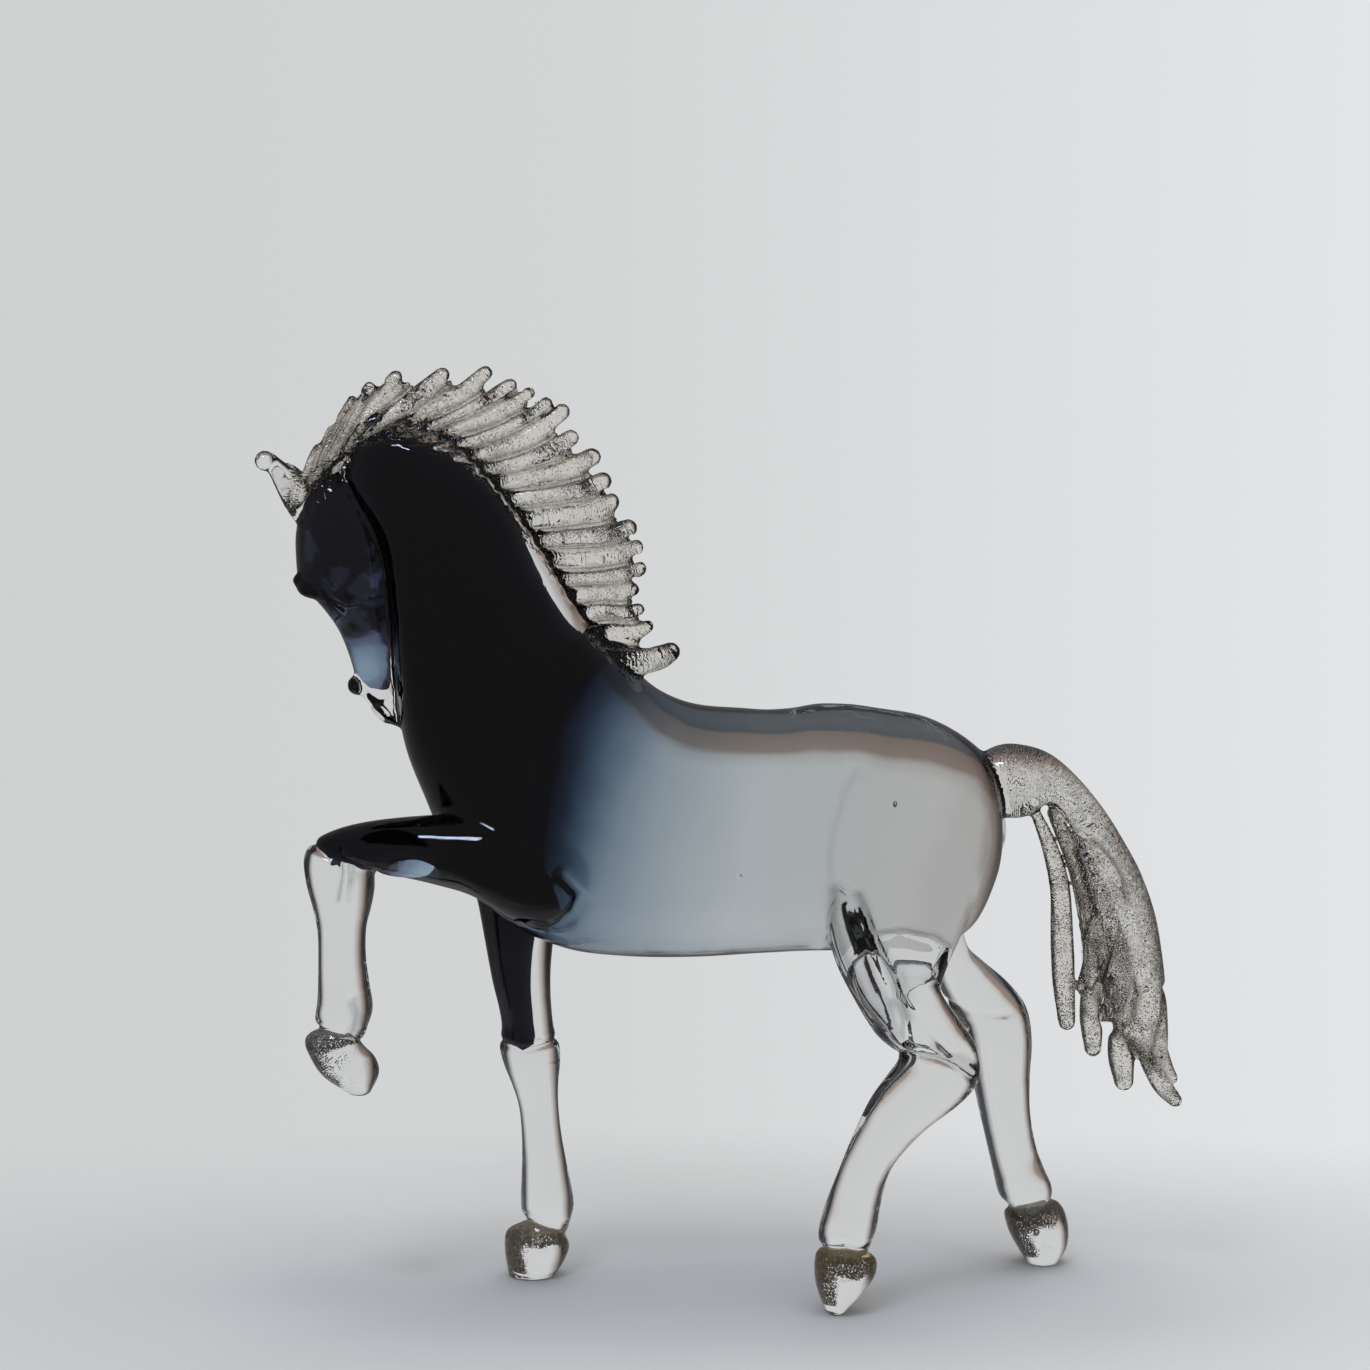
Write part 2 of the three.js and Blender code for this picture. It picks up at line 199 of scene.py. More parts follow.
def joined(name, pieces):
    bpy.ops.object.select_all(action="DESELECT")
    for piece in pieces:
        piece.select_set(True)
    bpy.context.view_layer.objects.active = pieces[0]
    if len(pieces) > 1:
        bpy.ops.object.join()
    pieces[0].name = name
    pieces[0].select_set(False)
    return pieces[0]


def finished(piece, kind, **settings):
    """A modifier added to the piece, set and applied."""
    bpy.ops.object.select_all(action="DESELECT")
    piece.select_set(True)
    bpy.context.view_layer.objects.active = piece
    modifier = piece.modifiers.new(kind.title(), kind)
    for name, value in settings.items():
        setattr(modifier, name, value)
    bpy.ops.object.modifier_apply(modifier=modifier.name)
    piece.select_set(False)
    return piece


def fused(name, pieces, grain, smoothing=3):
    """Masses fused to one skin, its folds softened as by the flame."""
    whole = joined(name, pieces)
    finished(whole, "REMESH", mode="VOXEL", voxel_size=grain * MM, adaptivity=0)
    return finished(whole, "SMOOTH", factor=0.5, iterations=smoothing)


# The outlines of the masses, as in the part's source

def middle_plane(height):
    return 0


def leg_side(hip, hip_height, foot):
    return lambda height: foot + (hip - foot) * min(max(height / hip_height, 0), 1)


BODY = {
    "front": [
        (102.5, 176), (100, 197), (92, 208.5), (75, 218.5), (56, 222), (34, 223), (11.5, 222.5), (-11, 223.5),
        (-26, 229), (-37, 238.5), (-46, 248), (-57.5, 263.5), (-68.5, 283), (-79.5, 300), (-90.5, 313.5),
        (-103, 324), (-118, 329.5), (-132.5, 328), (-144, 318.5),
    ],
    "back": [
        (102.5, 171), (99.5, 157), (91, 140), (76, 132), (57, 130.5), (34.5, 131), (12, 130), (-14.5, 128.5),
        (-41, 129), (-63.5, 132.5), (-86, 144), (-104, 167), (-114, 189.5), (-121, 208.5), (-124, 229),
        (-125.5, 251.5), (-128, 278), (-137, 296), (-142, 303.5),
    ],
    "widths": times([0.12, 0.56, 0.8, 0.95, 1, 0.96, 0.93, 0.95, 0.98, 0.97, 0.92], BARREL_WIDTH / 2)
    + times([1.25, 1.12, 1, 0.9, 0.8, 0.7, 0.5, 0.2], NECK_WIDTH / 2),
    "side": middle_plane,
}


def haunch_outline(sign):
    return {
        "front": [(60, 200), (47, 189), (39, 173), (36, 154), (42, 134), (54, 118)],
        "back": [(82, 200), (93, 189), (95, 168), (88, 146), (81, 129), (78, 119)],
        "widths": times([0.1, 0.34, 0.46, 0.47, 0.36, 0.2], BARREL_WIDTH / 2),
        "side": lambda height: sign * BARREL_WIDTH * 0.27,
    }


def shoulder_outline(sign):
    return {
        "front": [(-84, 222), (-98, 200), (-99, 178), (-86, 158)],
        "back": [(-62, 222), (-58, 200), (-52, 178), (-50, 160)],
        "widths": times([0.22, 0.33, 0.4, 0.32], BARREL_WIDTH / 2),
        "side": lambda height: sign * BARREL_WIDTH * 0.27,
    }


NEAR_HIND_LEG = {
    "front": [
        (40, 172), (36, 157), (35.5, 146), (39, 131), (46, 117), (54, 104), (61.5, 97.5), (62.5, 94), (59, 89),
        (52, 79), (46, 66), (40, 51), (35, 38), (33, 29), (33.5, 25), (31.6, 19.5), (31.8, 12), (33.5, 5.5), (36.5, -1),
    ],
    "back": [
        (79, 169), (82, 140), (78, 129), (78, 120.5), (84.5, 110), (90.5, 101.5), (92.5, 95), (93, 90), (91.5, 84.5),
        (85, 77.5), (72, 67.5), (61, 55), (57, 43.5), (55, 31.5), (52.5, 24), (55, 19), (54.6, 14), (50.5, 8), (43.5, 0.5),
    ],
    "widths": times(
        [1.5, 1.6, 1.5, 1.35, 1.2, 1.1, 1.05, 1.1, 1.15, 1.15, 1.05, 1, 0.95, 1, 0.92, 1.05, 1.1, 0.98, 0.6],
        LEG_WIDTH / 2,
    ),
    "side": leg_side(-BARREL_WIDTH * 0.27, 170, -HIND_STANCE / 2),
}
FAR_HIND_LEG = {
    "front": [
        (64, 158), (73, 140), (79.5, 124), (81, 114), (84.5, 105), (90, 97), (92.5, 87), (96, 70), (100, 53),
        (103.5, 38.5), (106, 28), (109, 23.5), (108.5, 19), (110.5, 12), (114, 5.5), (118, -1),
    ],
    "back": [
        (93, 158), (90, 142), (92, 128), (98, 121.5), (108, 113), (115.5, 103), (118, 90), (117.5, 75), (118, 60),
        (121, 45), (126.5, 32), (128, 26), (132, 21), (134, 13.5), (133.5, 6), (130, -0.5),
    ],
    "widths": times(
        [1.5, 1.45, 1.3, 1.2, 1.1, 1.08, 1.12, 1.05, 1, 0.95, 1, 0.92, 1.05, 1.1, 1.05, 0.75], LEG_WIDTH / 2
    ),
    "side": leg_side(BARREL_WIDTH * 0.27, 170, HIND_STANCE / 2),
}
STANDING_FORELEG = {
    "front": [
        (-96, 172), (-99, 158), (-96, 146), (-93.5, 132), (-90.5, 115), (-88, 104.5), (-87, 97), (-88, 91),
        (-86.5, 83.5), (-83, 74.5), (-80.5, 66), (-79.5, 55), (-79.5, 44), (-80, 28), (-79, 21), (-85.6, 17),
        (-86.4, 10), (-85.5, 3), (-84, -4),
    ],
    "back": [
        (-56, 170), (-60, 154), (-65.5, 141), (-67, 130), (-68, 119), (-68, 108), (-67, 97), (-65, 91), (-64.5, 84),
        (-65.3, 75), (-65.3, 66), (-64.2, 55), (-62.3, 44), (-59.5, 28), (-61.5, 19), (-61.5, 14.5), (-61.3, 10),
        (-63.6, 4.6), (-67.5, -1),
    ],
    "widths": times(
        [1.5, 1.45, 1.3, 1.15, 1.08, 1.05, 1, 1.1, 1.15, 1.05, 0.95, 0.92, 0.93, 1, 0.9, 1.05, 1.1, 1.07, 0.65],
        LEG_WIDTH / 2,
    ),
    "side": leg_side(BARREL_WIDTH * 0.24, 165, FORE_OFFSET),
}
RAISED_FORELEG = {
    "front": [
        (-50, 184), (-72, 186.5), (-92, 187), (-108, 186), (-121, 185), (-133, 183.5), (-143.5, 181), (-152, 177),
        (-156.5, 171), (-156, 161), (-153.5, 151), (-152, 142), (-152, 128.5), (-152.5, 117), (-153.5, 110),
        (-153, 106.5), (-157.4, 102), (-155.5, 95.5), (-151, 88.5), (-143, 83),
    ],
    "back": [
        (-42, 156), (-54, 146), (-66, 142.5), (-78, 146), (-93, 155.5), (-107, 160), (-119.5, 163), (-128, 165),
        (-130.5, 164.5), (-130.7, 159), (-132, 152), (-134, 144), (-134.3, 133), (-133, 122), (-132, 113.5),
        (-134.5, 105.5), (-135.5, 99.5), (-131.5, 95), (-130, 89), (-133.5, 81.5),
    ],
    "widths": times(
        [1.1, 1.6, 1.85, 1.75, 1.5, 1.35, 1.22, 1.12, 1.12, 1.1, 1, 0.95, 0.92, 0.95, 1, 0.92, 1.02, 1.1, 1.02, 0.65],
        LEG_WIDTH / 2,
    ),
    "side": leg_side(-ARM_OFFSET, 165, -ARM_OFFSET),
}
GASKIN_LOBE = [(41.5, -27, 161), (41.5, -27.5, 150), (46.5, -27.5, 136), (53.5, -28, 121), (62, -28, 105)]
SKULL = {
    "front": [
        (-149, 312), (-157, 301), (-161, 290), (-161.5, 280), (-160, 270), (-152.5, 262), (-146.5, 254),
        (-142.5, 245), (-140, 237), (-138, 230), (-134, 225),
    ],
    "back": [
        (-143, 313), (-136, 304.5), (-127.5, 291), (-123.5, 274), (-122.5, 259), (-122.5, 246), (-123.5, 237.5),
        (-124, 230), (-124.5, 223.5), (-124.5, 218), (-126, 216.5),
    ],
    "widths": times([0.35, 0.72, 0.9, 0.98, 0.98, 0.78, 0.62, 0.53, 0.48, 0.45, 0.28], HEAD_WIDTH / 2),
    "side": middle_plane,
}
JAW = {
    "front": [(-137, 229), (-133.5, 223.5), (-126.5, 217.5)],
    "back": [(-126, 231), (-122.5, 224), (-121.5, 216)],
    "widths": times([0.42, 0.36, 0.16], HEAD_WIDTH / 2),
    "side": middle_plane,
}


def laid_back(sign, x, z, share):
    """A place on an ear. The far ear is laid back and down by a share, into line with the near one."""
    return (x + 3.2 * share, z - 5 * share) if sign > 0 else (x, z)


def ear_outline(sign):
    """A cupped leaf."""
    front = [(-157.5, 289, 0.1), (-163.5, 297, 0.5), (-168, 306, 0.9), (-170.3, 311, 1)]
    back = [(-150, 304.5, 0.1), (-157, 309.5, 0.5), (-163.5, 314, 0.9), (-168, 317.5, 1)]
    return {
        "front": [laid_back(sign, *place) for place in front],
        "back": [laid_back(sign, *place) for place in back],
        "widths": times([1.2, 1, 0.7, 0.55], EAR_THICKNESS / 2),
        "side": lambda height: sign * HEAD_WIDTH * 0.2,
    }


# Each lock of the mane, from its root on the near side of the crest to its tip, and half its width.
MANE_LOCKS = [
    ([(-158, 298), (-156.5, 306), (-154.5, 314), (-151.5, 321)], 1.9),
    ([(-156, 301), (-153.5, 311), (-150.5, 319.5), (-146.5, 327.5)], 2.0),
    ([(-154, 304), (-150.5, 315), (-146.5, 324), (-141.5, 333)], 2.0),
    ([(-151.5, 307), (-147.5, 318.5), (-143.5, 329), (-138.5, 338.5)], 2.2),
    ([(-149, 310.5), (-142.5, 323), (-137, 334), (-131.5, 343.5)], 2.7),
    ([(-146.5, 313), (-138, 326), (-129.5, 337.5), (-121.5, 347.2)], 3.3),
    ([(-142.5, 317), (-130.5, 327.5), (-117, 337), (-103.5, 347.8)], 3.6),
    ([(-136.5, 320.5), (-120, 328.5), (-103, 336.5), (-88, 348.4)], 3.4),
    ([(-130, 322.5), (-112.5, 327), (-95, 334), (-78.5, 343.5)], 3.3),
    ([(-122, 322.5), (-104.5, 325), (-87.5, 331), (-72, 340.4)], 3.2),
    ([(-113, 320.5), (-97, 322), (-80.5, 327.5), (-65.5, 336.8)], 3.3),
    ([(-104.5, 317), (-89.5, 318), (-74.5, 323.5), (-59.5, 334.3)], 3.9),
    ([(-97, 312.5), (-83, 313), (-69, 317), (-56, 324.5)], 3.9),
    ([(-90, 307), (-76, 308), (-61.5, 311.5), (-47.8, 317)], 4.3),
    ([(-82.5, 301), (-68.5, 302.5), (-56, 303.5), (-43.8, 308.3)], 4.4),
    ([(-76, 293), (-62, 294.5), (-50.5, 296.5), (-41, 300.5)], 4.4),
    ([(-71, 285.5), (-57.5, 286.5), (-45.5, 287), (-34.3, 290.8)], 4.2),
    ([(-66.5, 278.5), (-54, 278.5), (-42, 280), (-32, 283.3)], 3.9),
    ([(-62.5, 271.5), (-51, 271.5), (-39.5, 272.5), (-30.8, 275.6)], 3.6),
    ([(-58.5, 265), (-49.5, 266), (-41, 266), (-33.5, 267)], 3.5),
    ([(-54.5, 258.5), (-46.5, 260), (-39.5, 258.5), (-31.5, 260)], 3.1),
    ([(-49, 251), (-41.5, 251.5), (-35, 251), (-28.3, 253.8)], 3.1),
    ([(-45, 243.5), (-35.5, 240.5), (-26.5, 241.5), (-18.6, 245.2)], 4.6),
]
TAIL_PLUME = {
    "front": [
        (90, 203), (101, 208.5), (110.5, 208.5), (120.5, 205), (130.5, 196.5), (140.5, 184.5), (148.5, 172),
        (155, 160), (160.5, 145), (163.5, 130), (165.5, 114), (166.5, 100), (166.5, 87),
    ],
    "back": [
        (93, 182), (103, 181), (111.5, 181.5), (118.5, 186), (124, 184), (130.5, 172.5), (136, 157), (141, 142),
        (145, 126), (148.5, 111), (152, 99), (156, 90), (161, 84),
    ],
    "widths": times([0.9, 1.15, 1.15, 1, 1, 1, 1, 0.95, 0.85, 0.75, 0.65, 0.5, 0.3], TAIL_THICKNESS / 2),
    "side": middle_plane,
}
# The locks under the plume: path, share of half the tail's thickness out of the middle plane, and half the width.
TAIL_LOCKS = [
    ([(114.5, 184), (120.5, 170), (124.5, 154.5), (125.5, 138), (126.5, 119), (128, 103)], -0.1, 4.0),
    ([(121, 184), (131, 162), (136, 145), (137, 128), (134.5, 117)], -0.5, 4.4),
    ([(133, 172), (142.5, 145), (146, 129), (145.5, 116), (142.5, 107)], -0.6, 4.8),
    ([(134, 140), (137, 118), (137.5, 106), (138.5, 92)], 0.2, 4.0),
    ([(147, 140), (150, 117), (148.5, 100), (148.7, 90), (150, 80)], -0.1, 4.5),
    ([(152, 118), (154.5, 99.5), (159, 88), (164.5, 78.5), (169.5, 72.8)], -0.2, 3.3),
    ([(158, 130), (161.5, 112), (163.5, 95), (166, 85), (169, 80)], 0.25, 2.8),
    ([(122, 182), (132, 160), (137, 140), (139, 122), (139, 108)], 0.55, 4.3),
    ([(136, 165), (145, 142), (150, 120), (152, 98)], 0.55, 4.6),
]


# The skin

def mass(name, outline, count, sides, ends):
    return drawn_out(name, rounded(along(outline, count), *ends), sides)


def barrel():
    """The body and neck in one, with fuller sides than an oval: round above and below, flat between."""
    sections = rounded(along(BODY, 90), 1, 2)
    sides = 72
    piece = drawn_out("barrel", sections, sides)
    for vertex in piece.data.vertices:
        section = sections[vertex.index // sides]
        spot = vertex.co / MM - CENTRING
        high = abs((spot - section.middle).dot(long_way(section)))
        flank = max(section.tall - section.wide, 0)
        bend = min(max(high - flank, 0) / max(section.tall - flank, 0.001), 1)
        vertex.co.y = (math.copysign(section.wide * math.sqrt(1 - bend**2), spot.y) + CENTRING.y) * MM
    return piece


def turned_head(pieces):
    """The head turns about an upright line through the poll."""
    centre = (Vector((POLL, 0, 0)) + CENTRING) * MM
    head = joined("head", pieces)
    bpy.context.view_layer.objects.active = head
    head.select_set(True)
    bpy.ops.object.mode_set(mode="EDIT")
    bpy.ops.mesh.select_all(action="SELECT")
    bpy.ops.transform.rotate(value=math.radians(HEAD_TURN), orient_axis="Z", center_override=centre)
    bpy.ops.object.mode_set(mode="OBJECT")
    head.select_set(False)
    return head


# The ridge over an eye: places from front to back, with the share of half the head's width out to the side.
BROW_RIDGE = [(-157.8, 0.5, 270.5), (-154.5, 0.68, 268), (-149.5, 0.78, 265.5)]


def ear(sign):
    """The leaf, pressed hollow in front, with its bead."""
    leaf_shape = mass("ear", ear_outline(sign), 14, 24, (2, 1))
    x, z = laid_back(sign, -163, 302, 0.6)
    hollow = drop("hollow", x, sign * HEAD_WIDTH * 0.2 - 4.6, z, (2.2, 3.4, 5.5))
    finished(leaf_shape, "BOOLEAN", operation="DIFFERENCE", object=hollow, solver="EXACT")
    bpy.data.objects.remove(hollow)
    x, z = laid_back(sign, -171.3, 314.5, 1)
    bead = drop("ear_bead", x, sign * HEAD_WIDTH * 0.2, z, (BEAD, BEAD, BEAD))
    return joined("ear", [leaf_shape, bead])


def head():
    brow = HEAD_WIDTH / 2
    skull = mass("skull", SKULL, 48, 40, (1, 2))
    for sign in (-1, 1):
        socket = drop("socket", -149, sign * brow * 1.08, 257, (5, 5, 4.5))
        finished(skull, "BOOLEAN", operation="DIFFERENCE", object=socket, solver="EXACT")
        bpy.data.objects.remove(socket)
    pieces = [skull, mass("jaw", JAW, 12, 20, (1, 1))]
    for sign in (-1, 1):
        path = [(x, sign * share * brow, z) for x, share, z in BROW_RIDGE]
        pieces.append(drawn_out("brow", thread(path, [2.8, 3.2, 2], [3.4, 3.6, 2]), 16))
        pieces.append(drop("nostril", -136.5 + sign, sign * brow * 0.3, 231.5, (BEAD, BEAD, BEAD)))
        pieces.append(ear(sign))
    return turned_head(pieces)


def mane_path(index):
    """A lock's path from root to tip: it starts on the near side of the crest and sways to alternate sides."""
    drawn, half = MANE_LOCKS[index]
    sway = 1.5 if index % 2 else -1.5
    aside = [-4.6, -3 + sway * 0.6, sway * 0.8 - 0.6, sway]
    path = [Vector((x, y, z)) for (x, z), y in zip(drawn, aside)]
    last = path[-1] - path[-2]
    path[-1] -= last.normalized() * half * 0.8
    return path


def mane_locks(fill=1.0, first=0):
    """The locks, or with a fill below 1 what lies inside them."""
    locks = []
    for index in range(first, len(MANE_LOCKS)):
        half = MANE_LOCKS[index][1]
        widths = times([1.02, 1.12, 1.02, 0.82], half * fill)
        depths = times([1.3, 1.6, 1.2, 0.8], half * fill)
        locks.append(drawn_out("lock", thread(mane_path(index), widths, depths, 20), 20))
    return locks


def far_locks(fill=1.0):
    """Shorter locks on the far side, showing between the near ones."""
    locks = []
    for index in range(3, len(MANE_LOCKS) - 2):
        pairs = zip(mane_path(index), mane_path(index + 1))
        path = [(a + b) / 2 + Vector((0, 3.6, 0)) for a, b in pairs]
        path[-1] = path[-2].lerp(path[-1], 0.55)
        half = MANE_LOCKS[index][1]
        widths = times([0.8, 1.05, 0.95, 0.6], half * fill)
        depths = times([0.9, 1.15, 0.95, 0.6], half * fill)
        locks.append(drawn_out("far_lock", thread(path, widths, depths, 16), 20))
    return locks


def mane_web(fill=1.0):
    """The thin sheet that the locks grow together in, well short of their tips."""
    front, back = [], []
    for drawn, _ in MANE_LOCKS[3:]:
        root, tip = Vector(drawn[0]), Vector(drawn[-1])
        way = tip - root
        front.append(tuple(root + way * (1 - 11 / way.length)))
        back.append(tuple(root))
    outline = {
        "front": front,
        "back": back,
        "widths": times([0.2] + [0.32] * (len(front) - 2) + [0.25], MANE_THICKNESS / 2 * fill),
        "side": lambda height: 0.2,
    }
    return mass("web", outline, 70, 24, (1, 1))


def tail_locks(fill=1.0):
    half = TAIL_THICKNESS / 2
    locks = []
    for path, depth, width in TAIL_LOCKS:
        points = [(x, depth * half, z) for x, z in path]
        widths = times([0.5, 0.85, 1.02, 1.12, 0.85], width * fill)
        depths = times([0.5, 0.8, 0.9, 0.95, 0.7], width * 0.9 * fill)
        locks.append(drawn_out("lock", thread(points, widths, depths, 26), 24))
    return locks


def skin():
    pieces = [barrel()]
    for sign in (-1, 1):
        pieces.append(mass("haunch", haunch_outline(sign), 20, 40, (5, 6)))
        pieces.append(mass("shoulder", shoulder_outline(sign), 20, 40, (5, 5)))
    pieces += [
        mass("near_hind_leg", NEAR_HIND_LEG, 80, 32, (4, 1)),
        mass("far_hind_leg", FAR_HIND_LEG, 80, 32, (4, 1)),
        mass("standing_foreleg", STANDING_FORELEG, 80, 32, (4, 1)),
        mass("raised_foreleg", RAISED_FORELEG, 84, 32, (4, 1)),
        drawn_out("gaskin_lobe", thread(GASKIN_LOBE, [3, 5.6, 7.2, 6.6, 3], [5, 9.5, 10.5, 10, 5], 30), 32),
        head(),
        mass("plume", TAIL_PLUME, 50, 32, (2, 1)),
    ]
    pieces += [mane_web()] + mane_locks() + far_locks() + tail_locks()
    return fused("horse", pieces, FUSING_GRAIN, 2)


# Where two masses flow into each other: a place in side view and the reach round it.
FLOWING = [(66, 197, 24), (88, 190, 14), (42, 182, 16), (-76, 212, 26), (-92, 190, 16), (-60, 190, 18), (60, 128, 10)]


def flowed(piece):
    """The folds between the great masses melted soft."""
    group = piece.vertex_groups.new(name="flow")
    for vertex in piece.data.vertices:
        x, z = vertex.co.x / MM - CENTRING.x, vertex.co.z / MM
        share = max(1 - math.hypot(x - u, z - v) / reach for u, v, reach in FLOWING)
        if share > 0:
            group.add([vertex.index], min(share * 2.5, 1), "REPLACE")
    finished(piece, "SMOOTH", factor=0.5, iterations=36, vertex_group="flow")
    piece.vertex_groups.clear()


def thinned(piece, most):
    """The mesh thinned where it is smooth, to no more than this many triangles."""
    count = sum(len(face.vertices) - 2 for face in piece.data.polygons)
    finished(piece, "DECIMATE", ratio=min(1, most / count))


# Where a bit was added or the tongs closed: the line in side view, its middle plane and reach across, how deep
# and how broad it is pressed, in millimetres.
PRESSED = [
    ([(63, 97.5), (70, 98.5), (77, 97), (83.5, 94), (89, 89.5)], -26, 16, 1.5, 1.4),
    ([(81, 107), (92, 103), (99, 102), (107, 102)], 20, 10, 1.1, 1.3),
    ([(-157, 178), (-147, 172.5), (-140, 171), (-129, 166.5)], -24, 16, 1.3, 1.4),
    ([(-142.5, 175), (-141.5, 166), (-143, 156)], -34, 9, 1.8, 1.2),
    ([(-89, 92.5), (-77.5, 90.5), (-64, 93)], 13, 16, 1.2, 1.4),
    ([(31, 24), (43, 25.5), (57, 21)], -29, 16, 1.5, 1.4),
    ([(105, 24), (117, 19.5), (130, 27)], 29, 16, 1.4, 1.5),
    ([(-88, 20), (-76, 22.5), (-66, 19), (-60, 14)], 13, 16, 1.4, 1.4),
    ([(-157, 107), (-148, 106.5), (-140, 104.5), (-130, 97)], -24, 16, 1.4, 1.4),
    ([(-139.5, 106), (-137.5, 113), (-139, 119)], -33, 9, 1.6, 1.4),
    ([(-61, 166), (-54.5, 158.5), (-57.5, 151), (-65, 145.5), (-76, 147)], -34, 14, 2.0, 2.0),
    ([(40, 178), (36, 168), (35, 157)], 34, 16, 1.0, 3.0),
    ([(38, 163), (47, 157), (52.5, 142), (60, 127), (64.5, 112), (65, 103)], -38, 14, 2.4, 1.3),
    ([(53, 143), (61, 145.5), (73.5, 142), (80, 137), (76, 129)], -38, 14, 1.8, 1.3),
    ([(46, 203), (41.8, 196.8), (37.7, 183.9), (36, 171), (37, 160)], -36, 14, 1.5, 4.0),
    ([(35, 220), (43, 218)], 0, 50, -1.2, 10),
    ([(15, 220), (22, 219.5)], 0, 50, 0.9, 10),
    ([(61, 119), (71, 111), (81, 99)], -38, 13, 1.5, 1.6),
    ([(-150.5, 270), (-147, 264.5), (-141, 261), (-134.5, 262)], -14, 12, 1.1, 1.5),
    ([(-150.5, 270), (-147, 264.5), (-141, 261), (-134.5, 262)], 16, 12, 1.0, 1.5),
    ([(-139.5, 226.5), (-134, 224.5), (-129, 224)], 0, 14, 0.3, 1.1),
    ([(-134, 231), (-131, 226), (-126, 221.5)], 0, 14, 0.3, 1.0),
]


# The slits between the tail's locks, and how broad each is. They are pressed in and painted with shade.
TAIL_SLITS = [
    ([(128.6, 169.7), (131.5, 162.2), (133.5, 153.1), (135.9, 145.5)], 1.6),
    ([(135.9, 145.5), (133.1, 136.3), (133, 127.2), (133.7, 116.5)], 1.2),
    ([(136, 174), (142.1, 167.5), (146.7, 159.9), (148.4, 150)], 1.7),
    ([(145.9, 140.9), (144.2, 131.8), (140.4, 122.6), (138.2, 115.7)], 1.1),
    ([(139.8, 113.4), (141.8, 104.2), (144.8, 99.6)], 1.6),
    ([(152.4, 121.1), (154.3, 114.2), (152.7, 107.3), (148.3, 98.8)], 1.1),
    ([(148.3, 98.8), (153.7, 91.9), (159.1, 88.1)], 1.8),
    ([(164.5, 116.5), (163.6, 107.3), (161.1, 98.1), (159.1, 88.1)], 1.1),
]


# Painted shade on the near side, darkening the glass's colour where it is folded or thick: the line, how broad and how
# dark.
PAINTED_SHADES = [
    ([(46, 203), (41.8, 196.8), (37.7, 183.9), (36, 171), (37, 160)], 1.5, 0.26),
    ([(106.9, 206), (121.9, 200), (136, 187), (149, 168), (158.5, 148.5), (162.5, 128.7), (164, 110.4)], 3.4, 0.42),
    ([(38, 160), (37.5, 150), (41.5, 136), (49.5, 120), (60, 104)], 2.4, 0.9),
    ([(47, 158), (53, 142), (60.5, 127), (65, 112)], 2.0, 0.9),
    ([(54, 144.5), (64, 145.5), (75.5, 142.6), (81.2, 137.9), (76.5, 129)], 1.3, 0.8),
    ([(-141.7, 175), (-141, 166), (-143, 156)], 0.8, 0.7),
    ([(63, 97.5), (70, 98.5), (77, 97), (83.5, 94), (89, 89.5)], 0.9, 0.6),
    ([(-139.5, 105.5), (-137.5, 112), (-139, 117)], 1.2, 0.6),
]


def furrows():
    """The lines between neighbouring locks of the mane and of the tail, and how broad each is. The skin is pressed in
    and painted with shade along them.
    """
    lines = []
    for index in range(len(MANE_LOCKS) - 1):
        middle = [(a + b) / 2 for a, b in zip(mane_path(index), mane_path(index + 1))]
        spots = [on_curve(middle, i / 6) for i in range(7)]
        lines.append(([(spot.x, spot.z) for spot in spots], 0.9))
    return lines + TAIL_SLITS


def between_locks():
    """The furrows as pressed lines, on both sides."""
    return [(line, side * 8, 10, 1.3, breadth) for line, breadth in furrows() for side in (-1, 1)]


def read(piece, what):
    """The places or the normals of a piece's vertices."""
    values = np.empty(len(piece.data.vertices) * 3)
    piece.data.vertices.foreach_get(what, values)
    return values.reshape(-1, 3)


def reach_from(line, spots):
    """How far each spot lies from a line drawn in side view."""
    points = [((x + CENTRING.x) * MM, z * MM) for x, z in line]
    nearest = np.full(len(spots), 1.0)
    for (ax, az), (bx, bz) in zip(points, points[1:]):
        way = np.array([bx - ax, bz - az])
        off = spots[:, [0, 2]] - np.array([ax, az])
        share = np.clip(off @ way / (way @ way), 0, 1)
        nearest = np.minimum(nearest, np.linalg.norm(off - share[:, None] * way, axis=1))
    return nearest


def pressed(piece, lines):
    """The skin pressed in along the lines."""
    spots, outward = read(piece, "co"), read(piece, "normal")
    moved = spots.copy()
    for line, middle, reach, depth, breadth in lines:
        across = np.clip((reach - np.abs(spots[:, 1] / MM - middle)) / max(3, breadth * 1.5), 0, 1)
        across = across * across * (3 - 2 * across)
        push = depth * MM * np.exp(-((reach_from(line, spots) / (breadth * MM)) ** 2)) * across
        moved -= outward * push[:, None]
    piece.data.vertices.foreach_set("co", moved.ravel())
    piece.data.update()


def ground_flat(piece):
    """The hooves are ground flat where they stand."""
    bpy.ops.object.select_all(action="DESELECT")
    piece.select_set(True)
    bpy.context.view_layer.objects.active = piece
    bpy.ops.object.mode_set(mode="EDIT")
    bpy.ops.mesh.select_all(action="SELECT")
    bpy.ops.mesh.bisect(plane_co=(0, 0, 0), plane_no=(0, 0, -1), use_fill=True, clear_outer=True, threshold=0.00001)
    bpy.ops.object.mode_set(mode="OBJECT")
    piece.select_set(False)


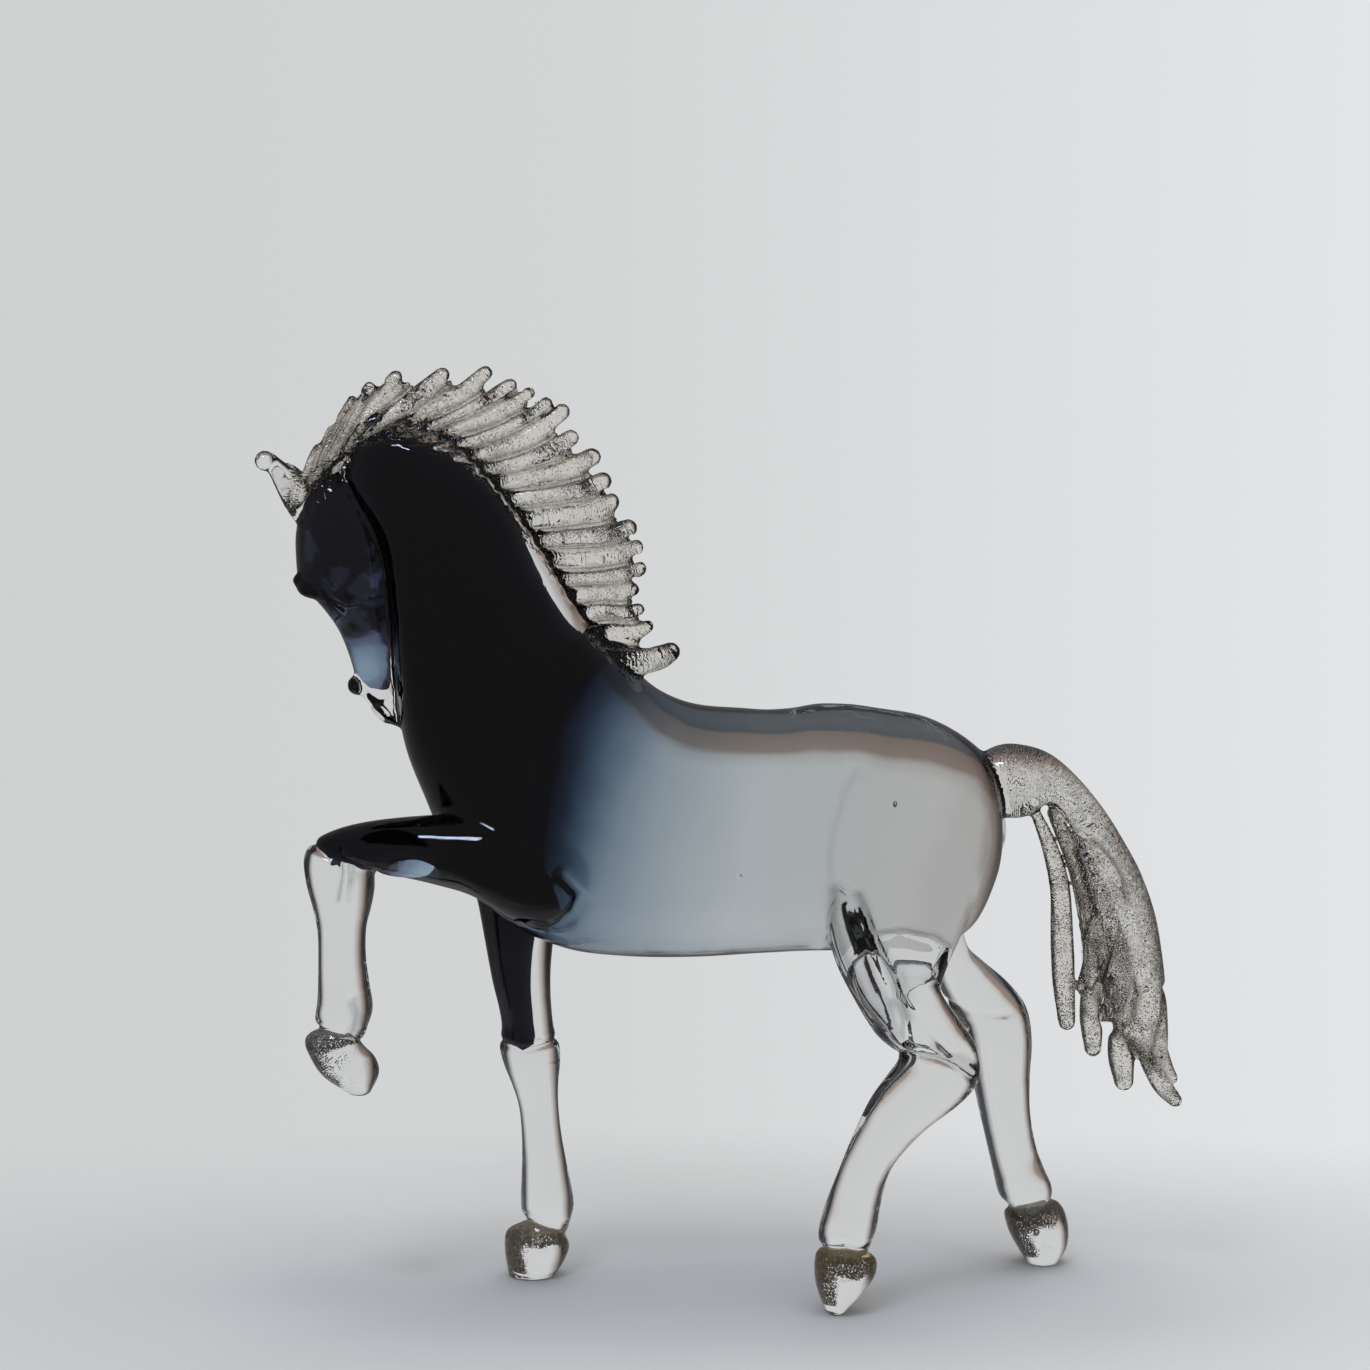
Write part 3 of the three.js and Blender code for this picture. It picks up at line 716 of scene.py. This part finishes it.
def kept_inside(piece, node):
    """The piece drawn in about its middle until it lies in the node's box."""
    low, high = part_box(node)
    spots = [vertex.co for vertex in piece.data.vertices]
    for axis in range(3):
        least, most = min(s[axis] for s in spots), max(s[axis] for s in spots)
        if axis == 2:
            factor = min(1, high.z / most)
            for spot in spots:
                spot.z = max(spot.z * factor, low.z)
            continue
        middle = (low[axis] + high[axis]) / 2
        reach = (high[axis] - low[axis]) / 2
        factor = min(1, reach / max(most - middle, middle - least))
        for spot in spots:
            spot[axis] = middle + (spot[axis] - middle) * factor


# What is sealed in the glass

def inside(outline, start, end, count, tall, wide, drift=(0.0, 0.0)):
    """The ovals of a core in a mass: shares of its size, and of its half size to drift towards its front edge."""
    sections = []
    for i in range(count):
        t = i / (count - 1)
        host = through(outline, start + (end - start) * t)
        shift = long_way(host) * host.tall * on_curve(list(drift), t)
        sections.append(
            Section(host.middle + shift, host.turn, host.tall * on_curve(tall, t), host.wide * on_curve(wide, t))
        )
    return sections


def ink_core():
    """The blue-black gather: forequarters, neck and both forearms. It leaves a clear strip along the crest."""
    neck = inside(
        BODY, 10.3 / 18, 17.3 / 18, 50,
        [0.82, 0.79, 0.78, 0.81, 0.85, 0.86, 0.84, 0.84, 0.84, 0.75],
        [0.82, 0.84, 0.84, 0.84, 0.84, 0.84, 0.82, 0.8, 0.75, 0.55],
        [-0.08, -0.12, -0.13, -0.1, -0.06, -0.06, -0.08, -0.1, -0.08, 0],
    )
    arm = inside(
        RAISED_FORELEG, 1.5 / 19, 7.25 / 19, 40,
        [0.8, 0.86, 0.88, 0.62, 0.5, 0.52, 0.6, 0.72, 0.7], [0.8, 0.86, 0.88, 0.88, 0.86, 0.84, 0.84, 0.8, 0.6],
        [0, 0, 0, 0.28, 0.42, 0.4, 0.3, 0.18, 0.1],
    )
    post = inside(
        STANDING_FORELEG, 1.4 / 18, 6.9 / 18, 30,
        [0.7, 0.62, 0.54, 0.48, 0.46, 0.44], [0.7, 0.7, 0.66, 0.62, 0.6, 0.56], [0.1, 0.2, 0.26, 0.28, 0.28, 0.26],
    )
    pieces = [
        drawn_out("neck", rounded(neck, 1, 2), 48),
        drawn_out("forearm", rounded(arm, 2, 1.5), 28),
        drawn_out("post", rounded(post, 3, 0.6), 28),
        drop("drip", -78.3, FORE_OFFSET, 90.5, (1.5, 2.5, 2.6)),
        drop("drip", -84.5, FORE_OFFSET, 93.5, (1.4, 2.5, 1.6)),
        drop("drip", -144.5, -ARM_OFFSET, 170.5, (2.6, 4, 4)),
        drop("drip", -136, -ARM_OFFSET, 169.5, (2.2, 4, 3)),
    ]
    return fused("ink_core", pieces, 1.3, 2)


# Where the head's ink thins out: a place in side view, the reach both ways, and how thin it gets.
THIN_INK = [
    (-154.5, 284, 3.5, 9, 0.36), (-135.5, 271, 7.5, 7, 0.36), (-145, 271, 3, 6, 0.3), (-144, 257, 4, 5, 0.5),
    (-134, 242, 6.5, 11, 0.74), (-110, 165, 12, 6, 1.0),
]


def face_core():
    """The thinner ink that the head was drawn from."""
    face = inside(
        SKULL, 0.4 / 10, 7.6 / 10, 34,
        [0.6, 0.86, 0.9, 0.9, 0.9, 0.86, 0.8, 0.68, 0.5], [0.6, 0.88, 0.9, 0.88, 0.84, 0.74, 0.6, 0.46, 0.34], [0, 0, 0, 0, 0, 0, 0, 0],
    )
    brow = HEAD_WIDTH / 2
    features = [drawn_out("face", rounded(face, 1, 2), 32)]
    for sign in (-1, 1):
        path = [(x, sign * share * brow, z) for x, share, z in BROW_RIDGE]
        features.append(drawn_out("brow_ink", thread(path, [2.3, 2.6, 1.6], [2.8, 3, 1.6]), 16))
        features.append(drop("drip", -134, sign * 2.5, 237.5, (2.2, 2, 3.4)))
        features.append(drop("drip", -128.5, sign * 2.5, 235.5, (2, 2, 3.6)))
    under_arm = drop("under_arm", -118.5, -ARM_OFFSET, 167, (12.5, 5, 4.2))
    core = fused("face_core", [turned_head(features), under_arm], 1.2, 2)
    thin = core.data.attributes.new("thin", "FLOAT", "POINT")
    for vertex in core.data.vertices:
        x, z = vertex.co.x / MM - CENTRING.x, vertex.co.z / MM
        thin.data[vertex.index].value = max(
            share * math.exp(-((x - u) / wide) ** 2 - ((z - v) / tall) ** 2) for u, v, wide, tall, share in THIN_INK
        )
    return core


def smoke_core():
    """The thin grey-blue gather that the ink runs out into, from the chest to the croup."""
    sections = inside(
        BODY, 0.7 / 18, 10.6 / 18, 60,
        [0.6, 0.86, 0.9, 0.9, 0.9, 0.9, 0.9, 0.9, 0.9], [0.5, 0.82, 0.88, 0.88, 0.88, 0.88, 0.88, 0.88, 0.8], [0, 0, 0, 0, 0, 0, 0, 0],
    )
    return fused("smoke_core", [drawn_out("smoke", rounded(sections, 3, 4), 64)], 1.6, 3)


def mane_leaf():
    return joined("mane_leaf", mane_locks(0.78, 3) + far_locks(0.7))


def tail_leaf():
    plume = inside(TAIL_PLUME, 0.12, 0.98, 40, [0.72, 0.72, 0.68, 0.5], [0.74, 0.76, 0.72, 0.5], [-0.12, -0.14, -0.1, 0])
    return joined("tail_leaf", [drawn_out("plume_leaf", rounded(plume, 2, 1), 28)] + tail_locks(0.76))


# The leaf in each hoof: its leg, the stations on it where the leaf starts, thins and ends, and how golden it is.
HOOVES = [
    (NEAR_HIND_LEG, 14.4, 15.7, 17.3, 1.0), (FAR_HIND_LEG, 11.2, 12.6, 14.2, 0.3),
    (STANDING_FORELEG, 14.4, 15.5, 17.1, 0.7), (RAISED_FORELEG, 15.3, 16.2, 18.3, 0.0),
]


def hoof_leaf():
    """The leaf lining each hoof, marked dense at the top and along the toe."""
    linings = []
    for outline, top, thin, low, gold in HOOVES:
        last = len(outline["front"]) - 1
        sections = inside(outline, top / last, low / last, 16, [0.84, 0.88, 0.84, 0.7], [0.84, 0.88, 0.84, 0.7])
        lining = drawn_out("lining", rounded(sections, 0.6, 1), 32)
        dense = lining.data.attributes.new("dense", "FLOAT", "POINT")
        golden = lining.data.attributes.new("golden", "FLOAT", "POINT")
        for vertex in lining.data.vertices:
            spot = vertex.co / MM - CENTRING
            station = min(range(len(sections)), key=lambda i: (sections[i].middle - spot).length)
            section = sections[station]
            down = (thin - top - (low - top) * station / (len(sections) - 1)) / (thin - top)
            ahead = (spot - section.middle).dot(long_way(section)) / section.tall
            dense.data[vertex.index].value = max(min(down * 3 + 0.6, 1), min((ahead - 0.15) * 2.5, 1), 0)
            golden.data[vertex.index].value = gold
        linings.append(lining)
    return joined("hoof_leaf", linings)


# Bubbles in the clear glass: place and size.
BUBBLES = [
    (60, -24, 190, 0.8), (4, -14, 163, 0.35), (44, -27, 60, 0.35), (121, 26, 13, 1.0),
]


def bubbles():
    return joined("bubbles", [drop("bubble", x, y, z, (r, r, r * 1.3)) for x, y, z, r in BUBBLES])


# Finishes

class Finish:
    """A material and the nodes that paint it."""

    def __init__(self, name):
        self.material = bpy.data.materials.new(name)
        self.material.use_nodes = True
        self.tree = self.material.node_tree
        self.shader = self.tree.nodes["Principled BSDF"]
        self.output = self.tree.nodes["Material Output"]
        self.place = self.node("ShaderNodeTexCoord").outputs["Object"]

    def node(self, kind, **settings):
        made = self.tree.nodes.new(kind)
        for name, value in settings.items():
            if name.startswith("in_"):
                made.inputs[name[3:].replace("_", " ")].default_value = value
            else:
                setattr(made, name, value)
        return made

    def link(self, source, target):
        self.tree.links.new(source, target)
        return target

    def clouds(self, scale, detail=3.0, roughness=0.5, at=None):
        made = self.node("ShaderNodeTexNoise", in_Scale=scale, in_Detail=detail, in_Roughness=roughness)
        self.link(at or self.place, made.inputs["Vector"])
        return made.outputs["Fac"]

    def ramp(self, source, stops):
        made = self.node("ShaderNodeValToRGB")
        elements = made.color_ramp.elements
        while len(elements) < len(stops):
            elements.new(0.5)
        for element, (position, color) in zip(elements, stops):
            element.position = position
            element.color = (*color, 1)
        self.link(source, made.inputs["Fac"])
        return made.outputs["Color"]

    def mixed(self, factor, a, b):
        made = self.node("ShaderNodeMix", data_type="RGBA")
        for source, socket in ((factor, made.inputs["Factor"]), (a, made.inputs[6]), (b, made.inputs[7])):
            self.link(source, socket)
        return made.outputs[2]

    def spread(self, source, low, high, to_low=0.0, to_high=1.0):
        made = self.node("ShaderNodeMapRange")
        for name, value in (("From Min", low), ("From Max", high), ("To Min", to_low), ("To Max", to_high)):
            made.inputs[name].default_value = value
        self.link(source, made.inputs["Value"])
        return made.outputs["Result"]

    def sum(self, operation, a, b):
        made = self.node("ShaderNodeMath", operation=operation)
        for socket, value in zip(made.inputs, (a, b)):
            if isinstance(value, (int, float)):
                socket.default_value = value
            else:
                self.link(value, socket)
        return made.outputs["Value"]

    def torn(self, source, patch, cover, grain):
        """Cells kept to a size that grows with the source."""
        cells = self.node("ShaderNodeTexVoronoi", feature="F1", in_Scale=grain, in_Randomness=1.0)
        self.link(self.place, cells.inputs["Vector"])
        return self.sum("LESS_THAN", cells.outputs["Distance"], self.spread(source, patch[0], patch[1], 0.0, cover))

    def bump(self, height, strength, distance):
        made = self.node("ShaderNodeBump", in_Strength=strength, in_Distance=distance)
        self.link(height, made.inputs["Height"])
        self.link(made.outputs["Normal"], self.shader.inputs["Normal"])

    def set(self, **values):
        for name, value in values.items():
            self.shader.inputs[name.replace("_", " ")].default_value = value

    def absorb(self, color, density):
        made = self.node("ShaderNodeVolumeAbsorption", in_Color=(*color, 1), in_Density=density)
        self.link(made.outputs["Volume"], self.output.inputs["Volume"])


def clear_glass():
    """Fire-polished clear glass, a little wavy, warm and ribbed across in the locks, with painted shade in the furrows
    and folds: brown in the locks, grey elsewhere.
    """
    finish = Finish("clear_glass")
    finish.set(Roughness=0.0, IOR=1.5, Transmission_Weight=1.0)
    warm = finish.node("ShaderNodeAttribute", attribute_name="lock").outputs["Fac"]
    painted_shade_mask = finish.node("ShaderNodeAttribute", attribute_name="painted_shade_mask").outputs["Fac"]
    color = finish.ramp(warm, [(0, (0.958, 0.956, 0.95)), (1, (0.9, 0.875, 0.82))])
    # Painted shade colours for the furrows and folds: brown in the locks, grey on the body.
    brown = finish.ramp(finish.clouds(200, 2), [(0.3, (0.2, 0.165, 0.12)), (0.7, (0.42, 0.355, 0.27))])
    grey = finish.ramp(finish.clouds(120, 2), [(0.35, (0.16, 0.17, 0.175)), (0.65, (0.34, 0.35, 0.36))])
    painted_shade = finish.mixed(warm, grey, brown)
    finish.link(finish.mixed(painted_shade_mask, color, painted_shade), finish.shader.inputs["Base Color"])
    reach = finish.node("ShaderNodeAttribute", attribute_name="reach").outputs["Fac"]
    shaken = finish.sum("ADD", reach, finish.spread(finish.clouds(140, 2), 0.3, 0.7, -1.4, 1.4))
    ribs = finish.sum("SINE", finish.sum("MULTIPLY", shaken, 4.2), 0)
    ribs = finish.sum("MULTIPLY", ribs, finish.sum("MULTIPLY", warm, finish.spread(finish.clouds(90, 3), 0.42, 0.62)))
    waves = finish.sum("ADD", finish.sum("MULTIPLY", ribs, 0.5), finish.clouds(28, 2))
    finish.bump(waves, 0.4, 0.0014)
    finish.absorb((0.72, 0.76, 0.8), 4)
    return finish.material


def ink_glass():
    """Blue-black glass. It shows no face of its own where it touches the clear glass."""
    finish = Finish("ink_glass")
    finish.set(Roughness=0.0, IOR=1.0, Transmission_Weight=1.0)
    tint = finish.ramp(finish.clouds(60, 4), [(0.3, (0.02, 0.02, 0.03)), (0.7, (0.05, 0.05, 0.07))])
    finish.link(tint, finish.shader.inputs["Base Color"])
    finish.absorb((0.05, 0.06, 0.1), 150)
    return finish.material


def face_glass():
    """The head's thinner ink: black at the poll and the brow, navy in the cheek, steel blue in the lower face."""
    finish = Finish("face_glass")
    finish.set(Roughness=0.0, IOR=1.0, Transmission_Weight=1.0)
    thin = finish.node("ShaderNodeAttribute", attribute_name="thin").outputs["Fac"]
    shaken = finish.sum("ADD", thin, finish.spread(finish.clouds(75, 4), 0.3, 0.7, -0.2, 0.2))
    tint = finish.ramp(shaken, [
        (0.17, (0.02, 0.02, 0.025)), (0.24, (0.2, 0.22, 0.36)), (0.46, (0.26, 0.33, 0.48)), (0.58, (0.35, 0.49, 0.65)),
        (1.0, (0.54, 0.68, 0.79)),
    ])
    finish.link(tint, finish.shader.inputs["Base Color"])
    finish.absorb((0.35, 0.37, 0.45), 60)
    return finish.material


def smoke_glass():
    """Grey-blue glass that the ink runs out into: nearly black at the chest, clear at the croup."""
    finish = Finish("smoke_glass")
    finish.set(Roughness=0.0, IOR=1.0, Transmission_Weight=1.0)
    parts = finish.node("ShaderNodeSeparateXYZ")
    finish.link(finish.place, parts.inputs[0])
    slant = finish.sum("MULTIPLY", finish.sum("SUBTRACT", parts.outputs["Z"], 0.135), 0.26)
    back = finish.sum("SUBTRACT", parts.outputs["X"], slant)
    shaken = finish.sum("ADD", back, finish.spread(finish.clouds(26, 3), 0.3, 0.7, -0.004, 0.004))
    share = finish.spread(shaken, -0.08, 0.07)
    tint = finish.ramp(share, [
        (0.0, (0.0, 0.0, 0.002)), (0.04, (0.012, 0.022, 0.045)), (0.08, (0.052, 0.09, 0.148)),
        (0.13, (0.147, 0.207, 0.28)), (0.18, (0.26, 0.33, 0.414)), (0.28, (0.42, 0.494, 0.566)),
        (0.38, (0.523, 0.598, 0.64)), (0.53, (0.677, 0.728, 0.748)), (0.78, (0.7, 0.72, 0.71)), (0.94, (0.74, 0.74, 0.72)),
        (1.0, (0.69, 0.68, 0.66)),
    ])
    finish.link(tint, finish.shader.inputs["Base Color"])
    return finish.material


def leaf(name, bright, dull, cover, grain, patch=(0.38, 0.68)):
    """Metal leaf torn to flecks by the pulling of the glass."""
    finish = Finish(name)
    finish.set(Metallic=0.2, Roughness=0.4)
    finish.link(finish.torn(finish.clouds(150, 4, 0.6), patch, cover, grain), finish.shader.inputs["Alpha"])
    tone = finish.clouds(900, 2)
    finish.link(finish.ramp(tone, [(0.35, dull), (0.65, bright)]), finish.shader.inputs["Base Color"])
    return finish.material


def hoof_metal():
    """The hooves' leaf: whole where it is dense, torn elsewhere, gold in some hooves and brown-grey in others."""
    finish = Finish("hoof_metal")
    finish.set(Metallic=0.05, Roughness=0.45)
    dense = finish.node("ShaderNodeAttribute", attribute_name="dense").outputs["Fac"]
    shaken = finish.sum("ADD", dense, finish.spread(finish.clouds(160, 3), 0.3, 0.7, -0.3, 0.3))
    finish.link(finish.torn(shaken, (0.0, 0.9), 0.74, 2200), finish.shader.inputs["Alpha"])
    golden = finish.node("ShaderNodeAttribute", attribute_name="golden").outputs["Fac"]
    tone = finish.clouds(700, 2)
    grey = finish.ramp(tone, [(0.35, (0.5, 0.46, 0.39)), (0.65, (0.93, 0.89, 0.8))])
    gold = finish.ramp(tone, [(0.35, (0.58, 0.41, 0.17)), (0.65, (0.94, 0.73, 0.36))])
    finish.link(finish.mixed(golden, grey, gold), finish.shader.inputs["Base Color"])
    return finish.material


def bubble_skin():
    """Air in the glass."""
    finish = Finish("bubble_skin")
    finish.set(Roughness=0.0, IOR=0.67, Transmission_Weight=1.0)
    finish.link(finish.ramp(finish.clouds(400, 1), [(0.3, (0.7, 0.72, 0.75)), (0.7, (0.9, 0.9, 0.9))]), finish.shader.inputs["Base Color"])
    return finish.material


def dressed(piece, material):
    piece.data.materials.clear()
    piece.data.materials.append(material)
    bpy.ops.object.select_all(action="DESELECT")
    piece.select_set(True)
    bpy.context.view_layer.objects.active = piece
    bpy.ops.object.shade_smooth()
    piece.select_set(False)
    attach(piece, "root")
    return piece


def marked_locks(piece):
    """Marks on the skin how far each spot is lock rather than body, how far along its lock it lies, and how much
    painted shade it gets in the furrows between locks and in the folds.
    """
    spots = []
    for index in range(len(MANE_LOCKS)):
        path = mane_path(index)
        spots += [(on_curve(path, i / 20), i / 20 * (path[-1] - path[0]).length + index * 2.3, 7.5) for i in range(21)]
    for points, depth, width in TAIL_LOCKS:
        path = [Vector((x, depth * TAIL_THICKNESS / 2, z)) for x, z in points]
        spots += [(on_curve(path, i / 40), i * 2.2, 7) for i in range(41)]
    plume = along(TAIL_PLUME, 50, 0.1)
    spots += [(section.middle, i * 3.2, 13) for i, section in enumerate(plume)]
    tree = kdtree.KDTree(len(spots))
    for i, (spot, _, _) in enumerate(spots):
        tree.insert((spot + CENTRING) * MM, i)
    tree.balance()
    lock = piece.data.attributes.new("lock", "FLOAT", "POINT")
    reach = piece.data.attributes.new("reach", "FLOAT", "POINT")
    for vertex in piece.data.vertices:
        _, i, distance = tree.find(vertex.co)
        near = spots[i][2] * MM
        lock.data[vertex.index].value = min(max((near * 1.25 - distance) / (near * 0.25), 0), 1)
        reach.data[vertex.index].value = spots[i][1]
    # Painted shade: full along the furrows between the locks, and on the near side only as dark as each listed fold
    # says.
    places = read(piece, "co")
    near_side = places[:, 1] < 0
    painted_shade = np.zeros(len(places))
    for line, breadth, dark in [(line, breadth * 0.9, 1) for line, breadth in furrows()] + PAINTED_SHADES:
        here = dark * np.exp(-((reach_from(line, places) / (breadth * MM)) ** 2))
        painted_shade = np.maximum(painted_shade, here if dark == 1 else here * near_side)
    piece.data.attributes.new("painted_shade_mask", "FLOAT", "POINT").data.foreach_set("value", painted_shade)


horse = skin()
flowed(horse)
pressed(horse, PRESSED + between_locks())
finished(horse, "SMOOTH", factor=0.5, iterations=1)
ground_flat(horse)
thinned(horse, 196000)
kept_inside(horse, "glass_horse")
marked_locks(horse)
dressed(horse, clear_glass())
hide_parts("glass_horse")

dressed(ink_core(), ink_glass())
dressed(face_core(), face_glass())
dressed(smoke_core(), smoke_glass())
dressed(mane_leaf(), leaf("mane_silver", (0.62, 0.57, 0.48), (0.2, 0.17, 0.13), 0.36, 1500, (0.15, 0.75)))
dressed(tail_leaf(), leaf("tail_silver", (0.95, 0.9, 0.82), (0.26, 0.21, 0.15), 0.4, 1400, (-0.2, 0.75)))
dressed(hoof_leaf(), hoof_metal())
dressed(bubbles(), bubble_skin())


# Studio

def floor():
    bpy.ops.mesh.primitive_circle_add(vertices=96, radius=0.9, fill_type="NGON", location=(0, 0, -0.0004))
    made = bpy.context.object
    made.name = "studio_floor"
    finish = Finish("studio_floor")
    finish.set(Roughness=0.6)
    cloud = finish.clouds(6, 4)
    finish.link(finish.ramp(cloud, [(0.3, (0.56, 0.56, 0.57)), (0.7, (0.6, 0.6, 0.6))]), finish.shader.inputs["Base Color"])
    squeezed = finish.node("ShaderNodeVectorMath", operation="MULTIPLY")
    squeezed.inputs[1].default_value = (1, 2.5, 1)
    finish.link(finish.place, squeezed.inputs[0])
    away = finish.node("ShaderNodeVectorMath", operation="LENGTH")
    finish.link(squeezed.outputs["Vector"], away.inputs[0])
    finish.link(finish.spread(away.outputs["Value"], 0.14, 0.55, 1.0, 0.0), finish.shader.inputs["Alpha"])
    made.data.materials.append(finish.material)
    made.visible_transmission = False
    made.select_set(False)


def studio_air():
    """Even and pale where it is seen past the glass. What shines through the glass is pale behind and before it,
    dim at the sides and above, and brown-grey below; what it mirrors is a dim room."""
    world = bpy.data.worlds.new("studio")
    bpy.context.scene.world = world
    world.use_nodes = True
    nodes, links = world.node_tree.nodes, world.node_tree.links

    def ramp(source, stops):
        made = nodes.new("ShaderNodeValToRGB")
        elements = made.color_ramp.elements
        while len(elements) < len(stops):
            elements.new(0.5)
        for element, (position, color) in zip(elements, stops):
            element.position = position
            element.color = (*color, 1)
        links.new(source, made.inputs["Fac"])
        return made.outputs["Color"]

    def mixed(factor, a, b, blend="MIX"):
        made = nodes.new("ShaderNodeMix")
        made.data_type = "RGBA"
        made.blend_type = blend
        for socket, value in zip((made.inputs["Factor"], made.inputs[6], made.inputs[7]), (factor, a, b)):
            if isinstance(value, (int, float, tuple)):
                socket.default_value = value
            else:
                links.new(value, socket)
        return made.outputs[2]

    def number(operation, a, b=0.0):
        made = nodes.new("ShaderNodeMath")
        made.operation = operation
        for socket, value in zip(made.inputs, (a, b)):
            if isinstance(value, (int, float)):
                socket.default_value = value
            else:
                links.new(value, socket)
        return made.outputs[0]

    parts = nodes.new("ShaderNodeSeparateXYZ")
    links.new(nodes.new("ShaderNodeTexCoord").outputs["Generated"], parts.inputs[0])

    def halved(source):
        made = number("MULTIPLY_ADD", source, 0.5)
        made.node.inputs[2].default_value = 0.5
        return made

    sides = ramp(halved(parts.outputs["X"]), [
        (0.0, (0.02, 0.02, 0.02)), (0.11, (0.05, 0.048, 0.046)), (0.15, (0.28, 0.22, 0.19)), (0.225, (0.75, 0.7, 0.67)),
        (0.28, (1, 1, 1)), (0.75, (1, 1, 1)), (0.81, (0.55, 0.55, 0.56)), (0.86, (0.06, 0.06, 0.065)), (1.0, (0.02, 0.02, 0.02)),
    ])
    levels = ramp(halved(parts.outputs["Z"]), [
        (0.1, (0.15, 0.155, 0.17)), (0.15, (0.13, 0.135, 0.15)), (0.16, (0.27, 0.21, 0.185)), (0.235, (0.33, 0.27, 0.24)),
        (0.26, (0.56, 0.54, 0.53)), (0.3, (0.65, 0.655, 0.66)), (0.75, (0.67, 0.68, 0.69)), (0.88, (0.62, 0.63, 0.65)),
        (0.96, (0.3, 0.3, 0.32)),
    ])
    depth = ramp(halved(parts.outputs["Y"]), [(0.45, (0.1, 0.1, 0.105)), (0.62, (1, 1, 1))])
    through_glass = mixed(1.0, mixed(1.0, sides, levels, "MULTIPLY"), depth, "MULTIPLY")
    rays = nodes.new("ShaderNodeLightPath").outputs
    room = mixed(rays["Is Reflection Ray"] if "Is Reflection Ray" in rays else rays["Is Glossy Ray"], through_glass, (0.165, 0.167, 0.177, 1))
    lit = mixed(rays["Is Diffuse Ray"], room, (0.62, 0.63, 0.635, 1))
    backdrop = ramp(halved(parts.outputs["X"]), [(0.38, (0.625, 0.64, 0.64)), (0.48, (0.65, 0.66, 0.665)), (0.62, (0.77, 0.785, 0.8))])
    pale = mixed(rays["Is Camera Ray"], lit, backdrop)
    links.new(pale, nodes["Background"].inputs["Color"])
    nodes["Background"].inputs["Strength"].default_value = 1.0


def lamp(name, place, aim, size, power, color, seen):
    bpy.ops.object.light_add(type="AREA", location=place)
    made = bpy.context.object
    made.name = name
    made.data.shape = "RECTANGLE"
    made.data.size, made.data.size_y = size
    made.data.energy = power
    made.data.color = color
    made.rotation_euler = (Vector(aim) - Vector(place)).to_track_quat("-Z", "Y").to_euler()
    made.visible_glossy = seen
    made.visible_transmission = False
    made.select_set(False)


def camera():
    bpy.ops.object.camera_add(location=(-0.0149, -1.05, 0.36), rotation=(math.radians(83), 0, 0))
    made = bpy.context.object
    made.data.lens = 74.57
    made.data.sensor_width = 36
    bpy.context.scene.camera = made
    made.select_set(False)


floor()
studio_air()
lamp("window", (-0.45, -0.75, 1.5), (-0.08, 0, 0.26), (0.42, 0.17), 4.9, (0.6, 0.72, 1.0), True)
lamp("high_softbox", (0.2, 0.1, 1.6), (0, 0, 0.15), (1.2, 0.9), 10, (1, 1, 1), False)
camera()

bpy.context.scene.view_settings.view_transform = "Standard"
cycles = bpy.context.scene.cycles
cycles.max_bounces = 32
cycles.transmission_bounces = 32
cycles.transparent_max_bounces = 32
